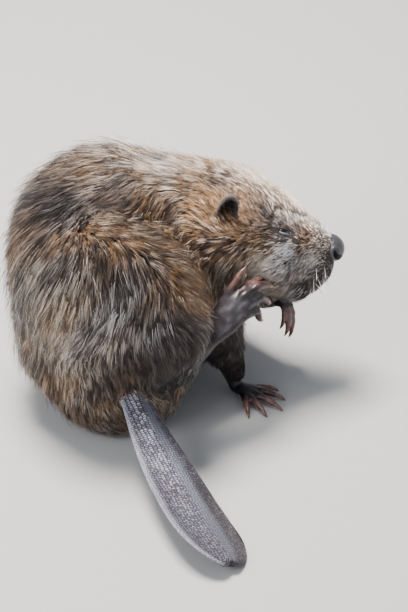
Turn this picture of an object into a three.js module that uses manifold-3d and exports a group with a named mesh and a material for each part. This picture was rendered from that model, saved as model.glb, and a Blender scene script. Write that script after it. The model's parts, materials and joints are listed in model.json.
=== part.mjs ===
// A beaver, life size, as a still display model: it sits on its rump with the tail laid out to its
// right, props itself on the right forepaw, holds the left forepaw up and scratches its right cheek
// with the raised right hind foot.
//
// Frame: millimetres, +Z up, the nose towards +X, the beaver's right side towards -Y. The origin is
// on the floor, on the flat under the rump.
//
// The furred body is one smooth shape, blended from ellipsoids and limb segments, whose surface is
// the outer surface of the coat. Thin cuts part it into head, neck, trunk and limbs. The bare parts,
// which are the tail, paws, ears, nose, eyes and claws, are solids of their own.
import * as THREE from "three";
import { mergeVertices } from "three/addons/utils/BufferGeometryUtils.js";
import Module from "manifold-3d";

// ---------------------------------------------------------------- driving sizes, in millimetres
const GAP = 0.35; // between neighbouring solids
const TRUNK_CELL = 24; // facet sizes of the furred surface
const LIMB_CELL = 13;
const HEAD_CELL = 13;
const FAR = 600; // larger than the animal, for half spaces
const FINEST = 0.05; // edges shorter than this are merged away

const TAIL_WIDTH = 78; // of the bare paddle
const TAIL_THICKNESS = 17;
const EYE_RADIUS = 5.2;
const EAR_HEIGHT = 27;
const EAR_WIDTH = 21;
const HIND_SOLE = { length: 74, heelWidth: 24, toeWidth: 33, thickness: 21, arch: 3 };
const FORE_SOLE = { length: 27, heelWidth: 19, toeWidth: 25, thickness: 14, arch: 2 };

const wasm = await Module();
wasm.setup();

// ---------------------------------------------------------------- small helpers
const vec = (a) => new THREE.Vector3(...a);
const radians = THREE.MathUtils.degToRad;
const mix = THREE.MathUtils.lerp;

// A closed three.js geometry as a solid.
function solid(geometry) {
  const bare = geometry.clone();
  for (const name of Object.keys(bare.attributes)) {
    if (name !== "position") bare.deleteAttribute(name);
  }
  const merged = mergeVertices(bare, 1e-4);
  return new wasm.Manifold(
    new wasm.Mesh({
      numProp: 3,
      vertProperties: new Float32Array(merged.attributes.position.array),
      triVerts: new Uint32Array(merged.index.array),
    }),
  );
}

// A solid as a three.js geometry.
function geometryOf(body) {
  const mesh = body.getMesh();
  const geometry = new THREE.BufferGeometry();
  geometry.setAttribute("position", new THREE.BufferAttribute(mesh.vertProperties.slice(), 3));
  geometry.setIndex(new THREE.BufferAttribute(mesh.triVerts.slice(), 1));
  geometry.computeVertexNormals();
  return geometry;
}

// A solid with every vertex moved out along its normal.
function swollen(body, distance) {
  const geometry = geometryOf(body);
  const { position, normal } = geometry.attributes;
  const p = new THREE.Vector3();
  const out = new THREE.Vector3();
  for (let i = 0; i < position.count; i++) {
    out.fromBufferAttribute(normal, i);
    p.fromBufferAttribute(position, i).addScaledVector(out, distance);
    position.setXYZ(i, p.x, p.y, p.z);
  }
  return solid(geometry);
}

// The placement of a thing at a point, turned by degrees about X, Y and Z.
function placement(at, turn = [0, 0, 0]) {
  const euler = new THREE.Euler(...turn.map(radians), "XYZ");
  return new THREE.Matrix4().makeRotationFromEuler(euler).setPosition(vec(at));
}

// An ellipsoid as a solid, grown all round by grow.
function ball({ at, r, turn }, grow = 0, segments = 12) {
  const shape = new THREE.SphereGeometry(1, segments, Math.round(segments * 0.6));
  shape.scale(...r.map((size) => size + grow));
  return solid(shape.applyMatrix4(placement(at, turn)));
}

// Everything on the side of a plane that its normal points to. shift moves the plane along it.
function halfSpace({ at, normal }, shift = 0) {
  const side = vec(normal).normalize();
  const turn = new THREE.Quaternion().setFromUnitVectors(new THREE.Vector3(0, 0, 1), side);
  const block = new THREE.BoxGeometry(2 * FAR, 2 * FAR, FAR).translate(0, 0, FAR / 2 + shift);
  return solid(block.applyQuaternion(turn).translate(...at));
}

const FLOOR = halfSpace({ at: [0, 0, 0], normal: [0, 0, 1] });

// The largest piece of a body, without the chips that a cut leaves or the hollows sealed inside it.
function largestPiece(body) {
  return body.decompose().reduce((best, piece) => (piece.volume() > best.volume() ? piece : best));
}

// A value from a list of evenly spaced ones, at a share of the way along it.
function along(list, share) {
  const at = THREE.MathUtils.clamp(share, 0, 1) * (list.length - 1);
  const i = Math.min(Math.floor(at), list.length - 2);
  return mix(list[i], list[i + 1], at - i);
}

// A frame whose X axis points forward and whose Z axis is as near to up as it can be.
function frame({ at, forward, up }) {
  const x = vec(forward).normalize();
  const y = vec(up).cross(x).normalize();
  const z = x.clone().cross(y);
  return new THREE.Matrix4().makeBasis(x, y, z).setPosition(vec(at));
}

// Points round a centre: move(x, y, p) takes the centre p to the place at x, y of the unit circle.
function ringAround(centre, sides, move) {
  return [...Array(sides).keys()].map((i) => {
    const turn = ((i + 0.5) / sides) * 2 * Math.PI;
    return move(Math.cos(turn), Math.sin(turn), centre.clone());
  });
}

// The solid inside a row of closed rings of points, each ring with the same number of points.
function ringSolid(rings) {
  const count = rings[0].length;
  const centres = [rings[0], rings.at(-1)].map((ring) =>
    ring.reduce((sum, p) => sum.add(p), new THREE.Vector3()).divideScalar(count),
  );
  const points = [...rings.flat(), ...centres];
  const [first, last] = [points.length - 2, points.length - 1];
  const faces = [];
  for (let i = 0; i < count; i++) {
    const next = (i + 1) % count;
    for (let row = 0; row < rings.length - 1; row++) {
      const [a, b] = [row * count, (row + 1) * count];
      faces.push(a + i, a + next, b + next, a + i, b + next, b + i);
    }
    const end = (rings.length - 1) * count;
    faces.push(first, next, i, last, end + i, end + next);
  }
  const geometry = new THREE.BufferGeometry().setFromPoints(points);
  geometry.setIndex(faces);
  const made = solid(geometry);
  if (made.volume() > 0) return made;
  geometry.setIndex(faces.reverse());
  return solid(geometry);
}

const DOME = { shrink: 0.6, reach: 0.7 }; // of a rounded end, as shares of the end's radius

// A limb along a smooth curve through points. size(share) gives its half width and half height at a
// share of its length, side is the direction of its width, and round says which ends are domed.
function limbSolid({ points, size, side, sides = 6, steps = 3, round = [true, true] }) {
  const curve = new THREE.CatmullRomCurve3(points);
  const ring = (share, shrink = 1, push = 0) => {
    const tangent = curve.getTangent(share);
    const across = side.clone().projectOnPlane(tangent).normalize();
    const over = tangent.clone().cross(across);
    const [wide, high] = size(share);
    const centre = curve.getPoint(share).addScaledVector(tangent, push * Math.min(wide, high));
    return ringAround(centre, sides, (x, y, p) =>
      p.addScaledVector(across, x * wide * shrink).addScaledVector(over, y * high * shrink),
    );
  };
  const rings = [...Array(steps + 1).keys()].map((i) => ring(i / steps));
  if (round[0]) rings.unshift(ring(0, DOME.shrink, -DOME.reach));
  if (round[1]) rings.push(ring(1, DOME.shrink, DOME.reach));
  return ringSolid(rings);
}

// ---------------------------------------------------------------- the furred body
// Every mass has a place, radii along its own axes and a turn in degrees. blend is how softly it
// runs into the masses before it.
const TRUNK_MASSES = {
  rump: { at: [-6, 2, 88], r: [95, 95, 93], blend: 1 },
  rump_skirt: { at: [-4, -54, 32], r: [50, 42, 34], blend: 26 },
  tail_stock: { at: [12, -44, 62], r: [40, 44, 38], turn: [-20, 0, -20], blend: 22 },
  middle_back: { at: [-18, 15, 158], r: [90, 97, 86], blend: 26 },
  upper_back: { at: [0, 40, 184], r: [92, 88, 79], blend: 26 },
  shoulders: { at: [74, 40, 168], r: [72, 74, 76], blend: 26 },
  chest: { at: [78, 38, 112], r: [58, 66, 58], blend: 26 },
  belly: { at: [34, 22, 84], r: [66, 78, 66], blend: 26 },
  right_haunch: { at: [4, -52, 150], r: [84, 60, 90], blend: 8 },
  right_knee: { at: [56, -68, 146], r: [34, 36, 52], turn: [0, 12, 0], blend: 14 },
  right_buttock: { at: [34, -44, 46], r: [36, 42, 46], blend: 18 },
  left_haunch: { at: [24, 92, 78], r: [70, 44, 68], blend: 14 },
  neck: { at: [106, 46, 184], r: [56, 52, 56], turn: [0, 20, 0], blend: 26 },
};

// The head's masses are placed in its own frame: forward to the nose, left, and up.
const HEAD = frame({ at: [112, 44, 196], forward: [0.89, -0.04, -0.45], up: [0, 0.25, 1] });
const HEAD_MASSES = {
  skull: { at: [30, 0, 4], r: [60, 44, 42], blend: 14 },
  right_cheek: { at: [50, -20, -22], r: [42, 30, 42], blend: 16 },
  left_cheek: { at: [50, 20, -22], r: [42, 30, 42], blend: 16 },
  muzzle: { at: [91, 0, 3], r: [32, 26, 26], blend: 18 },
  upper_lip: { at: [105, 0, -17], r: [26, 24, 24], blend: 12 },
  chin: { at: [94, 0, -40], r: [29, 22, 23], blend: 12 },
  throat: { at: [62, 0, -42], r: [36, 26, 22], blend: 14 },
};

// A limb segment runs from one point to another, and tapers from one radius to the next.
const SEGMENTS = {
  right_shank: { from: [62, -84, 128], to: [62, -74, 92], r: [36, 27], blend: 14 },
  right_upper_arm: { from: [80, 8, 140], to: [104, 4, 78], r: [34, 25], blend: 16 },
  right_forearm: { from: [104, 4, 78], to: [124, 3, 22], r: [25, 13], blend: 10 },
  left_upper_arm: { from: [90, 92, 130], to: [108, 96, 74], r: [32, 25], blend: 16 },
  left_forearm: { from: [108, 96, 74], to: [160, 59, 79], r: [24, 14], blend: 8 },
  left_shank: { from: [60, 112, 60], to: [-14, 107, 24], r: [34, 19], blend: 12 },
};

function ellipsoidDistance({ at, r, turn }, home = new THREE.Matrix4()) {
  const inverse = home.clone().multiply(placement(at, turn)).invert();
  const q = new THREE.Vector3();
  return (p) => {
    q.copy(p).applyMatrix4(inverse);
    const near = Math.hypot(q.x / r[0], q.y / r[1], q.z / r[2]);
    const slope = Math.hypot(q.x / r[0] ** 2, q.y / r[1] ** 2, q.z / r[2] ** 2);
    return slope > 1e-9 ? (near * (near - 1)) / slope : -Math.min(...r);
  };
}

function segmentDistance({ from, to, r }) {
  const bone = new THREE.Line3(vec(from), vec(to));
  const foot = new THREE.Vector3();
  return (p) => {
    const share = bone.closestPointToPointParameter(p, true);
    return bone.at(share, foot).distanceTo(p) - mix(r[0], r[1], share);
  };
}

const FLESH = [
  ...Object.values(TRUNK_MASSES).map((mass) => ({ blend: mass.blend, distance: ellipsoidDistance(mass) })),
  ...Object.values(HEAD_MASSES).map((mass) => ({ blend: mass.blend, distance: ellipsoidDistance(mass, HEAD) })),
  ...Object.values(SEGMENTS).map((limb) => ({ blend: limb.blend, distance: segmentDistance(limb) })),
];

// Distance to the furred surface: the masses joined one after another, each with a soft fillet.
function coatDistance(p) {
  let sum = 1e6;
  for (const { blend, distance } of FLESH) {
    const d = distance(p);
    const h = Math.max(blend - Math.abs(sum - d), 0) / blend;
    sum = Math.min(sum, d) - (h * h * blend) / 4;
  }
  return sum;
}

// Moves p towards the surface where the distance is zero, but not far out of its room.
function settle(p, distance, room) {
  const reach = 0.5;
  for (let round = 0; round < 3; round++) {
    const d = distance(p);
    const slope = new THREE.Vector3();
    for (let axis = 0; axis < 3; axis++) {
      const beside = p.clone();
      beside.setComponent(axis, p.getComponent(axis) + reach);
      slope.setComponent(axis, (distance(beside) - d) / reach);
    }
    p.addScaledVector(slope, -d / Math.max(slope.lengthSq(), 0.2));
    room.clampPoint(p, p);
  }
  return p;
}

// The surface where the distance is zero, inside box, as a closed solid of about cell-sized facets:
// one vertex in each cell that the surface crosses, and one quad over each crossed edge.
function isoSolid(distance, box, cell) {
  const n = box
    .getSize(new THREE.Vector3())
    .toArray()
    .map((size) => Math.ceil(size / cell) + 1);
  const index = (i, j, k) => i + n[0] * (j + n[1] * k);
  const field = new Float32Array(n[0] * n[1] * n[2]);
  const p = new THREE.Vector3();
  for (let k = 0; k < n[2]; k++) {
    for (let j = 0; j < n[1]; j++) {
      for (let i = 0; i < n[0]; i++) {
        p.set(i, j, k).multiplyScalar(cell).add(box.min);
        const edge = !i || !j || !k || i === n[0] - 1 || j === n[1] - 1 || k === n[2] - 1;
        field[index(i, j, k)] = edge ? cell : distance(p);
      }
    }
  }
  const step = [1, n[0], n[0] * n[1]];
  const corners = [...Array(8).keys()].map((c) => [c & 1, (c >> 1) & 1, (c >> 2) & 1]);
  const vertices = [];
  const vertexOf = new Map();
  for (let k = 0; k < n[2] - 1; k++) {
    for (let j = 0; j < n[1] - 1; j++) {
      for (let i = 0; i < n[0] - 1; i++) {
        const at = index(i, j, k);
        const mean = new THREE.Vector3();
        let crossings = 0;
        for (const [a, b, c] of corners) {
          const start = at + a * step[0] + b * step[1] + c * step[2];
          [a, b, c].forEach((bit, axis) => {
            if (bit) return;
            const end = start + step[axis];
            if (field[start] < 0 === field[end] < 0) return;
            p.set(a, b, c);
            p.setComponent(axis, field[start] / (field[start] - field[end]));
            mean.add(p);
            crossings++;
          });
        }
        if (!crossings) continue;
        p.set(i, j, k);
        mean.divideScalar(crossings).add(p).multiplyScalar(cell).add(box.min);
        const low = p.multiplyScalar(cell).add(box.min).clone();
        const room = new THREE.Box3(low, low.clone().addScalar(cell)).expandByScalar(0.25 * cell);
        vertexOf.set(at, vertices.length);
        vertices.push(settle(mean, distance, room));
      }
    }
  }
  const faces = [];
  for (const at of vertexOf.keys()) {
    for (let axis = 0; axis < 3; axis++) {
      const end = at + step[axis];
      if (field[at] < 0 === field[end] < 0) continue;
      const [u, v] = [step[(axis + 1) % 3], step[(axis + 2) % 3]];
      const quad = [at - u - v, at - v, at, at - u].map((cellAt) => vertexOf.get(cellAt));
      if (field[at] >= 0) quad.reverse();
      const [a, b, c, d] = quad.map((i) => vertices[i]);
      const turned = a.distanceTo(c) > b.distanceTo(d);
      if (turned) quad.push(quad.shift());
      faces.push(quad[0], quad[1], quad[2], quad[0], quad[2], quad[3]);
    }
  }
  const geometry = new THREE.BufferGeometry().setFromPoints(vertices);
  geometry.setIndex(faces);
  return solid(geometry);
}

const BODY_BOX = new THREE.Box3(vec([-140, -160, -20]), vec([270, 180, 300]));
const HEAD_BOX = new THREE.Box3(vec([60, -60, 60]), vec([270, 140, 270]));
const LIMB_BOX = new THREE.Box3(vec([-80, -160, -20]), vec([220, 180, 200]));
const coats = [
  { box: BODY_BOX, cell: TRUNK_CELL },
  { box: LIMB_BOX, cell: LIMB_CELL },
  { box: HEAD_BOX, cell: HEAD_CELL },
].map(({ box, cell }) => isoSolid(coatDistance, box, cell));
const [trunkCoat, limbCoat, headCoat] = coats;

// What of a bare part shows outside the coat, a gap clear of it.
const swollenCoats = coats.map((coat) => swollen(coat, 1.5 * GAP));
const outsideCoat = (body) => swollenCoats.reduce((rest, coat) => rest.subtract(coat), body);

// ---------------------------------------------------------------- cuts between the furred parts
// The head starts behind the ears and stops under the chin, and the neck is a wedge behind it.
const HEAD_BACK = { at: [-26, 0, 0], normal: [1, 0, 0] };
const HEAD_FLOOR = { at: [0, 0, -64], normal: [0, 0, 1] };
const NECK_BACK = { at: [58, 40, 152], normal: [0.97, 0, 0.24] };
const besideHead = (plane, shift) => halfSpace(plane, shift).transform(HEAD.toArray());
const headZone = (grow) =>
  besideHead(HEAD_BACK, -grow).intersect(besideHead(HEAD_FLOOR, -grow));
const neckZone = (grow) =>
  halfSpace(NECK_BACK, -grow).intersect(besideHead(HEAD_FLOOR, -grow));

// A leg is what lies inside a sleeve round its bones, or inside a ball for a haunch.
const sleeve = (points, radii, grow) =>
  limbSolid({
    points: points.map(vec),
    size: (share) => [along(radii, share) + grow, along(radii, share) + grow],
    side: vec([0.3, 0.95, 0.1]),
    sides: 8,
  });
const LEG_CUTTERS = {
  right_foreleg: (grow) =>
    sleeve([[86, -6, 136], [106, 0, 78], [122, 0, 42], [134, -2, 12]], [34, 38, 30, 26], grow),
  left_foreleg: (grow) =>
    sleeve([[96, 104, 128], [110, 98, 74], [136, 80, 72], [176, 50, 70]], [36, 40, 30, 26], grow),
  right_hind_leg: (grow) =>
    ball({ at: [22, -86, 148], r: [86, 62, 84], turn: [0, -12, 0] }, grow),
  left_hind_leg: (grow) => ball({ at: [22, 126, 62], r: [84, 52, 84] }, grow),
};

// ---------------------------------------------------------------- tail
// The bare paddle: oval at its root, flat beyond, with its outer edge raised. It comes down to the
// floor from the rump.
const TAIL = {
  line: [[8, -62, 76], [23, -94, 60], [41, -134, 40], [63, -180, 23], [88, -234, 14], [117, -292, 12]],
  rootWidth: 0.34, // as a share of TAIL_WIDTH
  widest: 0.74, // the share of its length from which the end is rounded
  bluntness: 2.6, // of that end: 2 is an ellipse, and more is blunter
  rootThickness: 1.45, // as shares of TAIL_THICKNESS
  tipThickness: 0.6,
  edgeThinning: 0.4, // how much thinner the edges are than the middle
  roll: -22, // in degrees, outer edge up
  curl: 0.16, // of the outer edge, as a share of the half width
  steps: 14,
  sides: 12,
  crowding: 1.5, // how much closer the rings are at the tip
  lastRing: 0.995, // where it is, short of the point where the width is nothing
};

function tailSolid() {
  const curve = new THREE.CatmullRomCurve3(TAIL.line.map(vec));
  const rings = [...Array(TAIL.steps + 1).keys()].map((row) => {
    const share = 1 - (1 - (row / TAIL.steps) * TAIL.lastRing) ** TAIL.crowding;
    const tangent = curve.getTangentAt(share);
    const roll = radians(TAIL.roll * Math.min(share * 1.6, 1));
    const right = vec([0, 0, 1]).cross(tangent).normalize().applyAxisAngle(tangent, roll);
    const over = tangent.clone().cross(right);
    const spread = mix(TAIL.rootWidth, 1, THREE.MathUtils.smoothstep(share, 0, TAIL.widest));
    const past = Math.max(share - TAIL.widest, 0) / (1 - TAIL.widest);
    const wide = (TAIL_WIDTH / 2) * spread * Math.sqrt(1 - past ** TAIL.bluntness);
    const high = (TAIL_THICKNESS / 2) * mix(TAIL.rootThickness, TAIL.tipThickness, share ** 0.6);
    return ringAround(curve.getPointAt(share), TAIL.sides, (x, y, p) => {
      const thin = 1 - TAIL.edgeThinning * Math.abs(x);
      const raised = TAIL.curl * wide * Math.max(-x, 0) ** 2;
      return p.addScaledVector(right, x * wide).addScaledVector(over, y * high * thin + raised);
    });
  });
  return ringSolid(rings);
}

// ---------------------------------------------------------------- paws
// A digit in its paw's frame: it leaves its base at the splay angle, and each joint bends it further
// towards the sole. Lengths are of its bones, and the claw goes on from the last.
function digitLine({ base, splay, lift, lengths, bends, thick }) {
  const turn = radians(splay);
  const side = vec([-Math.sin(turn), Math.cos(turn), 0]);
  const points = [vec(base)];
  let pitch = lift;
  lengths.forEach((length, i) => {
    pitch -= bends[i];
    const way = vec([1, 0, 0]).applyAxisAngle(vec([0, 1, 0]), -radians(pitch));
    points.push(way.applyAxisAngle(vec([0, 0, 1]), turn).multiplyScalar(length).add(points.at(-1)));
  });
  return { points, side, thick };
}

// The digit itself, a little thicker at its knuckles and tapering to the claw.
const DIGIT = { knuckle: 0.08, taper: 0.72, height: 0.95 }; // shares of its thickness
function digitSolid({ points, side, thick }) {
  const size = (share) => {
    const knuckle = 1 + DIGIT.knuckle * Math.cos(share * 4 * Math.PI);
    const radius = thick * knuckle * mix(1, DIGIT.taper, share);
    return [radius, DIGIT.height * radius];
  };
  return limbSolid({ points, size, side, round: [false, false] });
}

// A claw that goes on from the end of a digit and hooks towards the sole.
const CLAW = { hook: 0.25, point: 0.15, height: 0.85 }; // shares of its length, root and width
function clawSolid({ points, side }, { length, radius }) {
  const end = points.at(-1);
  const way = end.clone().sub(points.at(-2)).normalize();
  const sole = side.clone().cross(way);
  const line = [GAP / length, 0.5, 1].map((share) =>
    end
      .clone()
      .addScaledVector(way, share * length)
      .addScaledVector(sole, CLAW.hook * share * share * length),
  );
  const size = (share) => {
    const half = radius * mix(1, CLAW.point, share ** 1.4);
    return [half, CLAW.height * half];
  };
  return limbSolid({ points: line, size, side, sides: 5, steps: 2, round: [false, false] });
}

// The thin skin between two digits, from their roots to a share of their lengths.
const WEB_ROOT = 1; // how far it runs past the middle line of a digit
function webSolid(digitA, digitB, { share, thickness }) {
  const [a, b] = [digitA, digitB].map(({ points }) => new THREE.CatmullRomCurve3(points));
  const rings = [0.02, 0.5, 1].map((row) => {
    const [p, q] = [a.getPoint(row * share), b.getPoint(row * share)];
    const across = q.clone().sub(p).setLength(WEB_ROOT);
    p.sub(across);
    q.add(across);
    const out = across.cross(a.getTangent(row * share)).setLength(thickness / 2);
    return [p.clone().add(out), q.clone().add(out), q.clone().sub(out), p.clone().sub(out)];
  });
  return ringSolid(rings);
}

// The sole or palm, from the heel to the roots of the digits, in the paw's frame.
function soleSolid({ length, heelWidth, toeWidth, thickness, arch }) {
  return limbSolid({
    points: [[0, 0, 0], [length / 2, 0, arch], [length, 0, 0]].map(vec),
    size: (share) => [
      mix(heelWidth, toeWidth, share ** 1.3) / 2,
      (thickness / 2) * mix(1, 0.62, share),
    ],
    side: vec([0, 1, 0]),
    sides: 8,
    steps: 4,
  });
}

// The digits of a paw, from the inner one, which is next to the other paw, to the outer one. Each
// row says how far out its base is, its splay in degrees, its length and its thickness. side is +1
// for a left paw, pose has the lift at the base, the bends of the joints and the spread.
const FORE_DIGITS = [
  [-0.8, -38, 15, 0.8],
  [-0.48, -17, 24, 1],
  [0, 2, 28, 1.05],
  [0.48, 22, 26, 1],
  [0.8, 46, 20, 0.95],
];
const HIND_DIGITS = [
  [-0.8, -26, 46, 0.85],
  [-0.42, -13, 52, 0.95],
  [0, 0, 62, 1.05],
  [0.42, 13, 62, 1.05],
  [0.8, 27, 54, 1],
];
const BONES = [0.38, 0.33, 0.29]; // of each digit, as shares of its length

function digitLines({ side, sole, digits, thick }, pose) {
  return digits.map(([out, splay, length, fat], i) => {
    const reach = sole.length * (1 - 0.2 * Math.abs(out));
    return digitLine({
      base: [reach, (side * out * sole.toeWidth) / 2.2, 0],
      splay: side * splay * pose.spread,
      lift: pose.lift,
      lengths: BONES.map((bone) => bone * length),
      bends: pose.bends.map((bend) => bend * (pose.each?.[i] ?? 1)),
      thick: thick * fat,
    });
  });
}

// A paw with its claws, as solids in the part's frame.
function pawSolids({ place, pose, ...paw }) {
  const lines = digitLines(paw, pose);
  let foot = lines.reduce((sum, line) => sum.add(digitSolid(line)), soleSolid(paw.sole));
  for (let i = 1; paw.web && i < lines.length; i++) {
    foot = foot.add(webSolid(lines[i - 1], lines[i], paw.web));
  }
  const claws = lines.map((line) => clawSolid(line, paw.claw));
  const move = place.toArray();
  return { foot: foot.transform(move), claws: claws.map((claw) => claw.transform(move)) };
}

const FORE = {
  sole: FORE_SOLE,
  digits: FORE_DIGITS,
  thick: 4.2,
  claw: { length: 12, radius: 2.4 },
};
const HIND = {
  sole: HIND_SOLE,
  digits: HIND_DIGITS,
  thick: 5.2,
  claw: { length: 13, radius: 3 },
  web: { share: 0.86, thickness: 2.4 },
};
const PAWS = {
  right_fore: {
    ...FORE,
    side: -1,
    place: frame({ at: [119, 6, 6.2], forward: [0.82, -0.57, 0], up: [0, 0, 1] }),
    pose: { lift: 0, bends: [-2, 6, 6], spread: 1 },
  },
  left_fore: {
    ...FORE,
    side: 1,
    place: frame({ at: [154, 60, 78], forward: [0.95, -0.28, -0.12], up: [0.12, 0.1, 0.98] }),
    pose: { lift: -8, bends: [58, 12, 4], each: [1.05, 1, 1, 1, 1.1], spread: 0.3 },
  },
  right_hind: {
    ...HIND,
    side: -1,
    place: frame({ at: [70, -82, 86], forward: [0.62, 0.37, 0.69], up: [-0.36, -0.62, 0.64] }),
    pose: { lift: 0, bends: [8, 30, 36], each: [-0.1, 0.6, 1, 1.2, 1.45], spread: 0.16 },
  },
  left_hind: {
    ...HIND,
    side: 1,
    place: frame({ at: [-26, 104, 9.3], forward: [1, 0.04, 0], up: [0, 0, 1] }),
    pose: { lift: -4, bends: [0, 0, 3], spread: 1 },
  },
};

// ---------------------------------------------------------------- ears, eyes and nose
// An ear is an upright shell with a hollow that faces forward and out. side is +1 for the left.
const EAR = { at: [-9, 50, 14], lean: -20, back: -10, open: 72, wall: 3.5 };
function earSolid(side) {
  const outer = [EAR_WIDTH * 0.42, EAR_WIDTH * 0.5, EAR_HEIGHT * 0.62];
  const hollow = { at: [EAR_WIDTH * 0.28, 0, 1], r: outer.map((size) => size - EAR.wall) };
  const place = placement(
    [EAR.at[0], side * EAR.at[1], EAR.at[2]],
    [side * EAR.lean, EAR.back, side * EAR.open],
  );
  return ball({ at: [0, 0, 0], r: outer }, 0, 10)
    .subtract(ball(hollow, 0, 10))
    .transform(HEAD.clone().multiply(place).toArray());
}

const EYE = [55, 38.8, 14.5];
const eyeSolid = (side, grow = 0) =>
  ball({ at: [EYE[0], side * EYE[1], EYE[2]], r: [EYE_RADIUS, EYE_RADIUS, EYE_RADIUS] }, grow, 10)
    .transform(HEAD.toArray());

const NOSE = { at: [116, 0, 9], r: [15, 17, 14] };
const NOSTRIL = { at: [121, 15, 6], r: [5.5, 3, 3.4], open: 50 };
function noseSolid(grow = 0) {
  let pad = ball(NOSE, grow, 10);
  for (const side of grow ? [] : [-1, 1]) {
    const at = [NOSTRIL.at[0], side * NOSTRIL.at[1], NOSTRIL.at[2]];
    pad = pad.subtract(ball({ at, r: NOSTRIL.r, turn: [0, 0, side * NOSTRIL.open] }, 0, 8));
  }
  return pad.transform(HEAD.toArray());
}

// ---------------------------------------------------------------- putting it together
const parts = {};
const paint = {};
function add(name, body, colour) {
  parts[name] = largestPiece(body.intersect(FLOOR)).simplify(FINEST);
  paint[name] = colour;
}

// The legs come off the sides, the head and neck off the front, and the trunk is what is left.
let head = headCoat.intersect(headZone(0));
let neck = trunkCoat.intersect(neckZone(0)).subtract(headZone(GAP));
const front = neckZone(GAP).add(headZone(GAP));
let trunk = trunkCoat.subtract(front);
for (const side of ["right", "left"]) {
  const hindCutter = LEG_CUTTERS[`${side}_hind_leg`];
  const foreCutter = LEG_CUTTERS[`${side}_foreleg`];
  add(`${side}_hind_leg`, trunkCoat.intersect(hindCutter(0)), "fur");
  const foreleg = limbCoat.intersect(foreCutter(0)).subtract(front).subtract(hindCutter(GAP));
  add(`${side}_foreleg`, foreleg, "fur");
  head = head.subtract(hindCutter(GAP));
  neck = neck.subtract(hindCutter(GAP));
  trunk = trunk.subtract(hindCutter(GAP)).subtract(foreCutter(GAP));
}
for (const side of [-1, 1]) head = head.subtract(eyeSolid(side, GAP));
add("head", head.subtract(noseSolid(GAP)), "fur");
add("neck", neck, "fur");
add("trunk", trunk, "fur");
add("tail", outsideCoat(tailSolid()), "scales");

for (const [name, paw] of Object.entries(PAWS)) {
  const { foot, claws } = pawSolids(paw);
  add(`${name}_paw`, outsideCoat(foot), "bare_skin");
  claws.forEach((claw, i) => add(`${name}_claw_${i + 1}`, outsideCoat(claw), "claw"));
}
for (const [name, side] of [["right", -1], ["left", 1]]) {
  add(`${name}_ear`, outsideCoat(earSolid(side)), "ear");
  add(`${name}_eye`, eyeSolid(side), "eye");
}
add("nose", noseSolid(), "nose");

// ---------------------------------------------------------------- the exported model
const COLOURS = {
  fur: { color: 0x6b5340, roughness: 0.85, metalness: 0 },
  scales: { color: 0x4c4a50, roughness: 0.45, metalness: 0 },
  bare_skin: { color: 0x38333a, roughness: 0.4, metalness: 0 },
  claw: { color: 0x5a3a30, roughness: 0.35, metalness: 0 },
  ear: { color: 0x241f1f, roughness: 0.7, metalness: 0 },
  eye: { color: 0x0b0a0a, roughness: 0.08, metalness: 0 },
  nose: { color: 0x2c2a2c, roughness: 0.35, metalness: 0 },
};
const beaver = new THREE.Group();
for (const [name, body] of Object.entries(parts)) {
  const mesh = new THREE.Mesh(geometryOf(body), new THREE.MeshStandardMaterial(COLOURS[paint[name]]));
  mesh.name = name;
  beaver.add(mesh);
}

export default beaver;
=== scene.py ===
# A beaver as a still, life-size display model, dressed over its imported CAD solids. It is hunched on
# its rump, props itself on the right forepaw, holds the left forepaw up under the chin, and
# scratches its right cheek with the raised right hind foot. The scaly tail lies out to its right.
#
# Places are in millimetres as in the solids: +X the way the nose points, -Y the beaver's right
# side, +Z up, and the origin on the floor under the rump. MM turns them into metres.
import json
import math

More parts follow.
